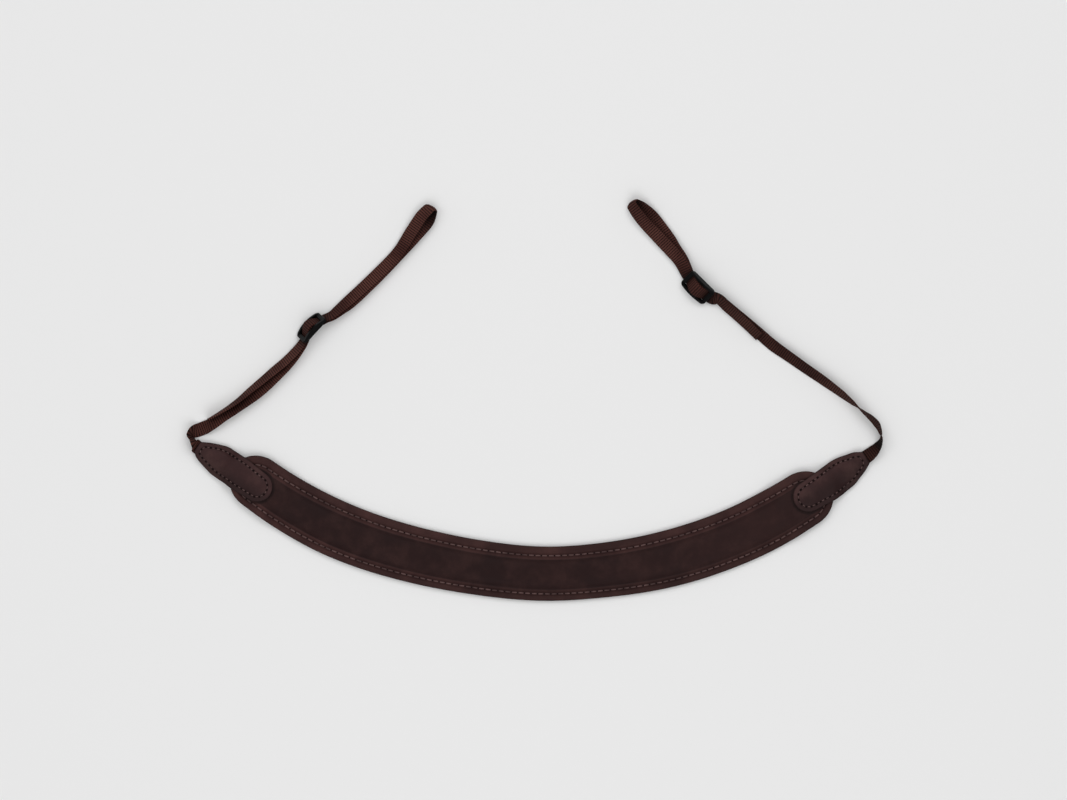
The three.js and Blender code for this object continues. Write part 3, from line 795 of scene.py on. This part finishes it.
def shade_and_darkening_maker(side):
    """Makes the function that says how dark a face of the webbing is made, from 0 to 1: painted
    shade inside the loop's end, under the slide's end bars, where it leaves the tab and in its
    crease, and a darkening towards the right.
    """
    turn = loop_turn(side["turn"])
    hollow_shade_share, spread = side["hollow_shade"]
    crease_x, crease_y, crease_reach = side["crease_shade"]
    inside = (turn[0][0] + turn[-1][0]) / 2
    origin, along, _, _ = slide_frame(side["slide"])
    reach = SLIDE_LENGTH / 2 - SLIDE_END_BAR / 2
    bars = [origin + along * reach, origin - along * reach]

    def shade_and_darkening(centre, normal, face, run):
        towards = inside - centre
        inner = 1.0 if towards.dot(normal) * face > 0 else 0.0
        # painted shade on the inner faces of the loop's end
        loop = inner * hollow_shade_share * fading(towards.length, spread)
        # painted shade where the webbing goes under the slide's end bars
        slide = max(fading((centre - bar).length, BAR_SHADE_REACH) for bar in bars)
        # painted shade on the webbing in and just out of the tab, fading along its run
        mouth = fading(run, MOUTH_REACH)
        # painted shade in the crease where the webbing turns over near the tab
        away = math.hypot(centre.x - crease_x, centre.y - crease_y)
        crease_shade = fading(away, crease_reach)
        # darker towards the right
        right = sum(gain * smoothstep(centre.x, low, high) for low, high, gain in RIGHT_DARKENING)
        darkening = loop + BAR_SHADE * slide + MOUTH_SHADE * mouth + CREASE_SHADE * crease_shade
        return min(MOST_DARKENING, darkening + right)

    return shade_and_darkening


def ring_places(points):
    """Where the webbing's rings stand: the span between two stations, and the share of it."""
    places = []
    for span, (a, b) in enumerate(zip(points, points[1:])):
        steps = max(2, math.ceil((b - a).length / WEB_STEP))
        places += [(span, i / steps) for i in range(steps)]
    return places + [(len(points) - 2, 1.0)]


def webbing_ring(route, points, span, t):
    """The webbing's middle, the way it faces, and its section, at a share of a span."""
    centre = curve_point(points, span, t)
    ahead = curve_point(points, span, t + TANGENT_STEP)
    tangent = (ahead - curve_point(points, span, t - TANGENT_STEP)).normalized()
    ease = smoothstep(t, 0, 1)
    across = route[span][1].lerp(route[span + 1][1], lerp(t, ease, EASE_SHARE))
    across = (across - tangent * across.dot(tangent)).normalized()
    normal = tangent.cross(across)
    back = route[span][2].lerp(route[span + 1][2], ease)
    ring = []
    for share, face in WEB_SECTION:
        edge = across * (share * WEB_WIDTH) + back * (2 * share) ** 4
        ring.append(centre + edge + normal * (face * WEB_THICKNESS))
    under = max(0.0, *(-point.z for point in ring))
    for point in ring:
        point.z += under
    return centre, normal, ring


def webbing(name, side):
    """The strip through its stations. Returns the piece and its length in millimetres."""
    route = webbing_route(side)
    points = [station[0] for station in route]
    shade_and_darkening_at = shade_and_darkening_maker(side)
    rings = []
    run = []
    shade_and_darkening = []
    previous = None
    for span, t in ring_places(points):
        centre, normal, ring = webbing_ring(route, points, span, t)
        rings.append(ring)
        run.append(run[-1] + (centre - previous).length if run else 0.0)
        previous = centre
        # how dark each point is made: painted shade, and the darkening towards the right
        shade_and_darkening += [shade_and_darkening_at(centre, normal, face, run[-1]) for _, face in WEB_SECTION]
    strip = skin(name, rings, ring_lengths(rings[0]), run, strip=True)
    strip.data.attributes.new("shade_and_darkening", "FLOAT", "POINT").data.foreach_set("value", shade_and_darkening)
    return strip, run[-1]


# -------- the slides


def slide_body(name, node):
    """The moulded slide: the model's own form with its edges eased."""
    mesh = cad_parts[node].data.copy()
    mesh.name = name
    work = bmesh.new()
    work.from_mesh(mesh)
    bmesh.ops.remove_doubles(work, verts=work.verts, dist=SLIDE_WELD)
    flat = math.radians(SLIDE_FLAT_ANGLE)
    bmesh.ops.dissolve_limit(work, angle_limit=flat, verts=work.verts, edges=work.edges)
    work.to_mesh(mesh)
    work.free()
    mesh.materials.clear()
    obj = new_object(name, mesh)
    bevel = obj.modifiers.new("eased edges", "BEVEL")
    bevel.width = SLIDE_EASE
    bevel.segments = 2
    bevel.limit_method = "ANGLE"
    bevel.angle_limit = math.radians(SLIDE_EASE_ANGLE)
    return obj


# -------- nodes


def feed(tree, socket, value):
    """Links a socket to what feeds it, or gives it a value of its own."""
    if isinstance(value, Signal):
        value = value.socket
    if isinstance(value, bpy.types.NodeSocket):
        tree.links.new(value, socket)
    else:
        socket.default_value = value


def add_node(tree, kind, settings=(), inputs=()):
    """A new node: its settings first, then the values and links of its sockets."""
    node = tree.nodes.new(kind)
    for key, value in dict(settings).items():
        setattr(node, key, value)
    for key, value in dict(inputs).items():
        feed(tree, node.inputs[key], value)
    return node


class Signal:
    """What a node gives out. Operators add Math nodes to its tree."""

    def __init__(self, tree, kind, settings=(), inputs=(), output=0):
        self.tree = tree
        self.socket = add_node(tree, kind, settings, inputs).outputs[output]

    def math(self, operation, *others):
        inputs = dict(enumerate((self, *others)))
        return Signal(self.tree, "ShaderNodeMath", {"operation": operation}, inputs)

    def __add__(self, other):
        return self.math("ADD", other)

    __radd__ = __add__

    def __sub__(self, other):
        return self.math("SUBTRACT", other)

    def __mul__(self, other):
        return self.math("MULTIPLY", other)

    __rmul__ = __mul__

    def __pow__(self, other):
        return self.math("POWER", other)

    def __abs__(self):
        return self.math("ABSOLUTE")

    def wave(self, length):
        """From -1 to 1 and back over each such length."""
        return (self * (2 * math.pi / length)).math("SINE")

    def rise(self, low, high, start=0.0, end=1.0):
        """Goes smoothly from start to end as the number goes from low to high."""
        settings = {"interpolation_type": "SMOOTHSTEP", "clamp": True}
        inputs = {"Value": self, "From Min": low, "From Max": high, "To Min": start, "To Max": end}
        return Signal(self.tree, "ShaderNodeMapRange", settings, inputs)

    def near(self, middle, core, reach):
        """1 within core of the middle, falling to 0 at reach."""
        return abs(self - middle).rise(core, reach, 1.0, 0.0)


# -------- stitches

STITCH_INPUTS = {"Geometry": "Geometry", "Pitch": "Float", **dict.fromkeys(STITCH_SIZES, "Float")}
STITCH_INPUTS |= {"Seed": "Int", "Thread Material": "Material", "Hole Shade Material": "Material"}


def stitch_tree():
    """A row of stitches along a seam: each a short bowed thread that sinks at both ends, with a
    dark sphere between neighbours as the painted shade of an awl hole. Returns the tree and the
    identifier of each input."""
    tree = bpy.data.node_groups.new("stitch row", "GeometryNodeTree")
    sockets = tree.interface
    ids = {}
    for label, kind in STITCH_INPUTS.items():
        socket = sockets.new_socket(label, in_out="INPUT", socket_type=f"NodeSocket{kind}")
        ids[label] = socket.identifier
    sockets.new_socket("Geometry", in_out="OUTPUT", socket_type="NodeSocketGeometry")

    def made(kind, inputs=(), output=0, **settings):
        return Signal(tree, kind, settings, inputs, output)

    given = {label: made("NodeGroupInput", output=label) for label in STITCH_INPUTS}
    inputs = {"Curve": given["Geometry"], "Length": given["Pitch"]}
    spaced = made("GeometryNodeResampleCurve", inputs, mode="LENGTH")
    inputs = {"Curve": spaced}
    spots = add_node(tree, "GeometryNodeCurveToPoints", {"mode": "EVALUATED"}, inputs).outputs

    def laid(shape, material):
        """A shape in its material, once at each stitch."""
        dressed = made("GeometryNodeSetMaterial", {"Geometry": shape, "Material": material})
        places = {"Points": spots["Points"], "Rotation": spots["Rotation"]}
        return made("GeometryNodeInstanceOnPoints", {**places, "Instance": dressed})

    half = given["Stitch"] * 0.5
    inputs = {
        "Resolution": 6,
        "Start": made("ShaderNodeCombineXYZ", {"Y": given["Sink"], "Z": half * -1.0}),
        "Middle": made("ShaderNodeCombineXYZ", {"Y": given["Crest"] * -1.0}),
        "End": made("ShaderNodeCombineXYZ", {"Y": given["Sink"], "Z": half}),
    }
    bow = made("GeometryNodeCurveQuadraticBezier", inputs)
    inputs = {"Resolution": 6, "Radius": given["Thread"]}
    round_thread = made("GeometryNodeCurvePrimitiveCircle", inputs, "Curve")
    inputs = {"Curve": bow, "Profile Curve": round_thread, "Fill Caps": True}
    stitch = made("GeometryNodeCurveToMesh", inputs)
    inputs = {"Min": (-1, -1, -1), "Max": (1, 1, 1), "Seed": given["Seed"]}
    turn = made("FunctionNodeRandomValue", inputs, data_type="FLOAT_VECTOR")
    inputs = {0: turn, "Scale": given["Unevenness"]}
    uneven = made("ShaderNodeVectorMath", inputs, operation="SCALE")
    inputs = {"Instances": laid(stitch, given["Thread Material"]), "Rotation": uneven}
    wobbled = made("GeometryNodeRotateInstances", inputs)
    # a flattened dark sphere between stitches: painted shade for the inside of an awl hole
    pit = made("GeometryNodeMeshIcoSphere", {"Radius": given["Hole"], "Subdivisions": 2}, "Mesh")
    between = made("ShaderNodeCombineXYZ", {"Z": given["Pitch"] * 0.5})
    inputs = {"Geometry": pit, "Scale": (1.0, HOLE_DEPTH, 1.0), "Translation": between}
    hole_shade = made("GeometryNodeTransform", inputs)
    both = add_node(tree, "GeometryNodeJoinGeometry")
    for row in (laid(hole_shade, given["Hole Shade Material"]), wobbled):
        feed(tree, both.inputs[0], row)
    real = made("GeometryNodeRealizeInstances", {"Geometry": both.outputs[0]})
    smooth = made("GeometryNodeSetShadeSmooth", {"Geometry": real})
    add_node(tree, "NodeGroupOutput", (), {"Geometry": smooth})
    return tree, ids


def seam_points(ring, spacing):
    """Points round a closed ring, at an even spacing that divides its length."""
    lengths = ring_lengths(ring)
    path = ring + ring[:1]
    count = max(2, round(lengths[-1] / spacing))
    result = []
    for i in range(count):
        at = lengths[-1] * i / count
        k = min(max(bisect_left(lengths, at), 1), len(lengths) - 1)
        t = (at - lengths[k - 1]) / (lengths[k] - lengths[k - 1])
        result.append(path[k - 1].lerp(path[k], t))
    return result


def seam_curve(name, points):
    """A closed poly curve through the seam's points. Its local Y points down into the leather."""
    curve = bpy.data.curves.new(name, "CURVE")
    curve.dimensions = "3D"
    curve.twist_mode = "Z_UP"
    spline = curve.splines.new("POLY")
    spline.points.add(len(points) - 1)
    for target, point in zip(spline.points, points):
        target.co = ((point + CENTRING) * MM).to_4d()
    spline.use_cyclic_u = True
    return new_object(name, curve)


def sewn(name, ring, spacing, stitches, values):
    """Stitches round a closed ring, at an even pitch near the spacing, as a plain mesh."""
    tree, ids = stitches
    points = seam_points(ring, spacing)
    guide = seam_curve(f"{name}_guide", points)
    row = guide.modifiers.new("stitches", "NODES")
    row.node_group = tree
    row[ids["Pitch"]] = (points[1] - points[0]).length * MM
    for label, value in values.items():
        row[ids[label]] = value
    view = bpy.context.evaluated_depsgraph_get()
    mesh = bpy.data.meshes.new_from_object(guide.evaluated_get(view), depsgraph=view)
    mesh.name = name
    guide.modifiers.remove(row)
    bpy.data.objects.remove(guide, do_unlink=True)
    return new_object(name, mesh)


# -------- finishes


def tint(red, green, blue):
    """A colour given as it looks on a screen, 0 to 255, as the linear colour of a shader."""
    linear = []
    for part in (red, green, blue):
        share = part / 255
        linear.append(share / 12.92 if share <= 0.04045 else ((share + 0.055) / 1.055) ** 2.4)
    return (*linear, 1.0)


class Finish:
    """A material and its Principled shader."""

    def __init__(self, name):
        self.material = bpy.data.materials.new(name)
        self.material.use_nodes = True
        self.tree = self.material.node_tree
        self.tree.nodes.clear()
        self.shader = add_node(self.tree, "ShaderNodeBsdfPrincipled")
        surface = {"Surface": self.shader.outputs[0]}
        add_node(self.tree, "ShaderNodeOutputMaterial", (), surface)

    def given(self, **inputs):
        """The material, once its shader is given these inputs."""
        for label, value in inputs.items():
            feed(self.tree, self.shader.inputs[label.replace("_", " ")], value)
        return self.material

    def node(self, kind, settings=(), inputs=(), output=0):
        return Signal(self.tree, kind, settings, inputs, output)

    def place(self):
        return self.node("ShaderNodeTexCoord", output="Object")

    def lay(self):
        """The piece's own map: its u and its v, in metres."""
        return self.axes(self.node("ShaderNodeUVMap", {"uv_map": "lay"}))

    def axes(self, vector):
        """The first two coordinates of a vector."""
        inputs = {"Vector": vector}
        return [self.node("ShaderNodeSeparateXYZ", (), inputs, axis) for axis in ("X", "Y")]

    def noise(self, vector, scale, detail=2.0, roughness=0.5, distortion=0.0):
        inputs = {"Vector": vector, "Scale": scale, "Detail": detail}
        inputs |= {"Roughness": roughness, "Distortion": distortion}
        return self.node("ShaderNodeTexNoise", (), inputs, "Fac")

    def cells(self, vector, scale, feature="F1"):
        inputs = {"Vector": vector, "Scale": scale}
        return self.node("ShaderNodeTexVoronoi", {"feature": feature}, inputs, "Distance")

    def blend(self, share, a, b):
        inputs = {"Factor": share, 6: a, 7: b}
        return self.node("ShaderNodeMix", {"data_type": "RGBA"}, inputs, 2)

    def shaded(self, colour, *shades):
        """A colour with others laid over it in turn, each by its share."""
        for share, shade in shades:
            colour = self.blend(share, colour, shade)
        return colour

    def bump(self, height, depth, under=None):
        """A normal from a height of 0 to 1, depth metres deep."""
        inputs = {"Height": height, "Distance": depth, "Strength": 1.0}
        if under is not None:
            inputs["Normal"] = under
        return self.node("ShaderNodeBump", (), inputs)


def leather_grain(finish, spot, fine):
    """Height of soft creased leather: pebbles with fine wrinkles between, and pores."""
    warp = finish.noise(spot, 420.0)
    pebbles = finish.cells(spot, 1150.0, "SMOOTH_F1")
    wrinkles = finish.noise(spot, 760.0, 4.0, roughness=0.6, distortion=0.6)
    pores = finish.cells(spot, 2300.0).rise(0.08, 0.22)
    return (pebbles * 0.45 + wrinkles * 0.55 + warp * 0.25) * (1 - fine) + pores * fine


def away_from(x, y, point):
    """How far a spot is, seen from above, from a point given in millimetres."""
    centre = (point + CENTRING) * MM
    off_x, off_y = x - centre.x, y - centre.y
    return (off_x * off_x + off_y * off_y) ** 0.5


def facing_finish():
    """Waxed dark leather: a near-black padded middle, and a redder, lighter sewn border, darker
    towards the right and on the outer half of its right part; painted shade in the panel's crease
    and the seam's groove, and a painted shadow round the tabs' round ends."""
    finish = Finish("facing leather")
    spot = finish.place()
    x, y = finish.axes(spot)
    _, inset = finish.lay()
    broad = finish.noise(spot, 16.0, 3.0, roughness=0.55)
    clouds = finish.noise(spot, 70.0, 4.0, roughness=0.6)
    mottle = broad * 0.55 + clouds * 0.45
    patches = mottle.rise(0.35, 0.66)
    grain = leather_grain(finish, spot, 0.25)
    worn = grain.rise(0.45, 0.75) * clouds.rise(0.4, 0.7) * 0.1
    # darker towards the right, and more on the outer half of the border's right part
    outer = (away_from(x, y, PAD_CENTRE) - PAD_RADIUS * MM).rise(-0.012, 0.013)
    right_and_outer_darkening = 0.15 * x.rise(-0.2, 0.2) + 0.3 * outer * x.rise(-0.16, 0.0)
    border = finish.blend(patches, tint(48, 28, 27), tint(64, 40, 38))
    border = finish.blend(right_and_outer_darkening, border, tint(30, 17, 16))
    middle = finish.blend(patches, tint(33, 17, 17), tint(42, 24, 23))
    middle = finish.blend(x.rise(0.05, 0.16) * 0.16, middle, tint(60, 38, 36))
    wander = (broad - 0.5) * 0.0008
    panel = (inset + wander - PANEL_EDGE * MM).rise(-0.0005, 0.0004)
    # painted shade in the crease at the panel's edge
    crease_shade = inset.near(PANEL_EDGE * MM, 0.0001, 0.0005)
    # painted shade in the groove along the seam
    seam_shade = inset.near(PAD_SEAM * MM, 0.0004, 0.0016)
    seam_dip = inset.near(PAD_SEAM * MM, 0.0003, 0.0022)
    cut = inset.rise(0.0001, 0.0007, 1.0, 0.0)
    shades = [
        (crease_shade * 0.45, tint(20, 12, 12)),
        (seam_shade * 0.2, tint(30, 18, 18)),
        (cut * 0.5, tint(28, 19, 18)),
    ]
    # painted shadow round each tab's round end, where it lies on the facing
    for side in SIDES.values():
        tab_centre = Vector((*side["tab"][:2], 0.0))
        tab_shadow = away_from(x, y, tab_centre).near(TAB_END * MM + 0.0009, 0.0004, 0.0014)
        shades.append((tab_shadow * 0.6, tint(18, 9, 9)))
    shades.append((worn, tint(92, 64, 60)))
    soft = finish.bump(mottle - seam_dip, 0.0005)
    return finish.given(
        Base_Color=finish.shaded(finish.blend(panel, border, middle), *shades),
        Roughness=mottle.rise(0.3, 0.7, 0.5, 0.62) + grain * 0.06,
        Specular_IOR_Level=0.1,
        Normal=finish.bump(grain, 0.00006, soft),
    )


def cut_finish(name, middle, light, rim, rim_share, rough):
    """Smooth leather cut to shape: a burnished edge, a paler rim outside its seam, painted shade in
    the seam's groove, and painted shade on the lower side of both tabs."""
    finish = Finish(name)
    spot = finish.place()
    x, y = finish.axes(spot)
    _, inset = finish.lay()
    clouds = finish.noise(spot, 48.0, 4.0, roughness=0.6)
    fine = finish.noise(spot, 260.0, 3.0, roughness=0.55)
    mottle = clouds * 0.7 + fine * 0.3
    grain = leather_grain(finish, spot, 0.4)
    outside_seam = inset.rise(0.0004, 0.0011) * inset.rise(0.0024, 0.0036, 1.0, 0.0)
    # painted shade on the lower side of each tab, below the line along its middle
    over_middle = y * TAB_SHADE_SLANT[0] - abs(x) * TAB_SHADE_SLANT[1] + TAB_SHADE_OFFSET
    cut = inset.rise(0.0001, 0.0006, 1.0, 0.0)
    # painted shade in the groove along the seam
    seam_shade = inset.near(TAB_SEAM * MM, 0.0003, 0.0012)
    worn = grain.rise(0.5, 0.8) * clouds.rise(0.45, 0.7) * 0.12
    colour = finish.shaded(
        finish.blend(mottle.rise(0.36, 0.66), middle, light),
        (outside_seam * rim_share, rim),
        (over_middle.rise(-0.007, 0.005, 0.5, 0.0), tint(22, 12, 12)),
        (cut * 0.7, tint(24, 16, 15)),
        (seam_shade * 0.25, tint(26, 17, 16)),
        (worn, tint(112, 84, 78)),
    )
    soft = finish.bump(mottle, 0.0004)
    return finish.given(
        Base_Color=colour,
        Roughness=mottle.rise(0.3, 0.7, rough - 0.05, rough + 0.06) + grain * 0.05,
        Specular_IOR_Level=0.12,
        Normal=finish.bump(grain, 0.00005, soft),
    )


def webbing_finish():
    """Narrow woven webbing: cross ribs of weft, broken by the warp yarns that go over them."""
    finish = Finish("webbing weave")
    spot = finish.place()
    run, girth = finish.lay()
    sway = (finish.noise(spot, 180.0) - 0.5) * 0.0003
    ribs = (run + sway).wave(RIB_PITCH * MM)
    yarns = (girth + sway * 0.5).wave(YARN_PITCH * MM)
    over = (ribs * 0.5 + 0.5) ** 0.7
    weave = over * 0.66 + (ribs * yarns) * 0.28 + 0.16
    shade_and_darkening = finish.node("ShaderNodeAttribute", {"attribute_name": "shade_and_darkening"}, output="Fac")
    fuzz = finish.noise(spot, 2600.0, 3.0, roughness=0.65)
    fade = finish.noise(spot, 38.0, 3.0, roughness=0.55)
    raised = finish.blend(fade.rise(0.35, 0.65), tint(74, 42, 37), tint(96, 59, 52))
    valley = tint(12, 5, 4)
    colour = finish.blend((weave * 0.85 + fuzz * 0.3).rise(0.33, 0.82), valley, raised)
    woven = finish.bump(weave, 0.0004)
    return finish.given(
        # the weave darkened by painted shade (loop inside, slide bars, tab, crease) and towards the
        # right
        Base_Color=finish.blend(shade_and_darkening, colour, tint(9, 5, 4)),
        Roughness=0.72 + fuzz * 0.2,
        Specular_IOR_Level=0.08,
        Normal=finish.bump(fuzz, 0.00006, woven),
    )


def thread_finish():
    """Waxed sewing thread, laid in two plies."""
    finish = Finish("sewing thread")
    spot = finish.place()
    plies = finish.noise(spot, 1900.0, roughness=0.6, distortion=0.5)
    shade = finish.noise(spot, 140.0)
    colour = finish.blend(shade.rise(0.35, 0.65), tint(64, 44, 43), tint(92, 68, 66))
    return finish.given(
        Base_Color=finish.blend(plies.rise(0.5, 0.3) * 0.5, colour, tint(44, 27, 26)),
        Roughness=0.52 + plies * 0.16,
        Specular_IOR_Level=0.3,
        Normal=finish.bump(plies, 0.00008),
    )


def hole_shade_finish():
    """Painted shade for the inside of an awl hole: near-black, with a trace of the leather's
    colour.
    """
    finish = Finish("awl hole shade")
    specks = finish.noise(finish.place(), 1500.0)
    return finish.given(
        Base_Color=finish.blend(specks, tint(14, 6, 6), tint(27, 13, 13)),
        Roughness=0.85 + specks * 0.1,
        Specular_IOR_Level=0.1,
    )


def slide_finish():
    """Moulded satin black plastic with a faint texture and rubbed ridges."""
    finish = Finish("slide plastic")
    spot = finish.place()
    stipple = finish.noise(spot, 2400.0, roughness=0.6)
    rubbed = finish.noise(spot, 300.0, 4.0, roughness=0.65)
    return finish.given(
        Base_Color=finish.blend(rubbed.rise(0.4, 0.7), tint(3, 3, 3), tint(7, 6, 7)),
        Roughness=rubbed.rise(0.3, 0.7, 0.34, 0.5),
        Specular_IOR_Level=0.1,
        Normal=finish.bump(stipple, 0.00003),
    )


def floor_finish():
    finish = Finish("pale floor")
    return finish.given(Base_Color=tint(236, 236, 236), Roughness=0.9, Specular_IOR_Level=0.1)


# -------- the strap


def finished(obj, material, node=None):
    """Gives a piece its finish and its place in the model. A seam brings its own materials."""
    if material:
        obj.data.materials.clear()
        obj.data.materials.append(material)
    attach(obj, "root")
    if node:
        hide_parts(node)
    return obj


backing_leather = cut_finish(
    "backing leather", tint(36, 24, 22), tint(50, 34, 31), tint(56, 38, 35), 0.3, 0.62
)
tab_leather = cut_finish(
    "tab leather", tint(50, 30, 30), tint(57, 35, 35), tint(58, 38, 37), 0.35, 0.5
)
weave = webbing_finish()
plastic = slide_finish()
sewing = {"Thread Material": thread_finish(), "Hole Shade Material": hole_shade_finish()}
stitches = stitch_tree()

facing = finished(pad_facing(), facing_finish(), "pad_facing")
finished(pad_backing(), backing_leather, "pad_backing")

pad_seam = pad_ring(PAD_SEAM, facing_top)
pad_row = sewn("pad_seam", pad_seam, PAD_STITCH_SPACING, stitches, PAD_STITCHES | sewing)
finished(pad_row, None)

for side_name, side in SIDES.items():
    for layer, form in (("lower", tab_lower), ("upper", tab_upper)):
        tab = form(f"tab_{layer}_{side_name}_leather", side["tab"])
        finished(tab, tab_leather, f"tab_{layer}_{side_name}")
    seam = tab_ring(side["tab"], TAB_SEAM, tab_top)
    values = TAB_STITCHES | sewing
    row = sewn(f"tab_seam_{side_name}", seam, TAB_STITCH_SPACING, stitches, values)
    finished(row, None)
    strip, strip_length = webbing(f"webbing_{side_name}_strip", side)
    finished(strip, weave, f"webbing_{side_name}")
    strip_length * MM
    slide = slide_body(f"slide_{side_name}_moulding", f"slide_{side_name}")
    finished(slide, plastic, f"slide_{side_name}")

# -------- floor, light and camera

scene = bpy.context.scene
scene.view_settings.view_transform = "Standard"

corners = [(-1, -1), (1, -1), (1, 1), (-1, 1)]
corners = [Vector((x, y, 0)) * FLOOR_REACH - CENTRING for x, y in corners]
floor = mesh_object("floor", corners, [(0, 1, 2, 3)])
floor.data.materials.append(floor_finish())
floor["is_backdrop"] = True

world = bpy.data.worlds.new("studio")
world.use_nodes = True
daylight = world.node_tree.nodes["Background"].inputs
daylight["Color"].default_value = (1, 1, 1, 1)
daylight["Strength"].default_value = DAYLIGHT
scene.world = world


def softbox(name, place, size, power):
    light = bpy.data.lights.new(name, "AREA")
    light.shape = "RECTANGLE"
    light.size, light.size_y = size
    light.energy = power
    obj = new_object(name, light)
    obj.location = place
    obj.rotation_euler = (-Vector(place)).to_track_quat("-Z", "Y").to_euler()


softbox("key softbox", (0.4, 1.3, 2.1), (2.2, 1.6), 20.0)
softbox("near softbox", (0.2, -1.4, 2.0), (2.2, 1.4), 17.0)
softbox("left softbox", (-1.5, 0.2, 2.0), (1.4, 1.6), 8.0)

camera_data = bpy.data.cameras.new("overhead")
camera_data.sensor_width = SENSOR_WIDTH
camera_data.lens = SENSOR_WIDTH * CAMERA_PLACE[2] / VIEW_WIDTH
camera = new_object("overhead", camera_data)
camera.location = CAMERA_PLACE
scene.camera = camera

sizes = [[list(corner) for corner in box] for box in (model_box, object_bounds())]
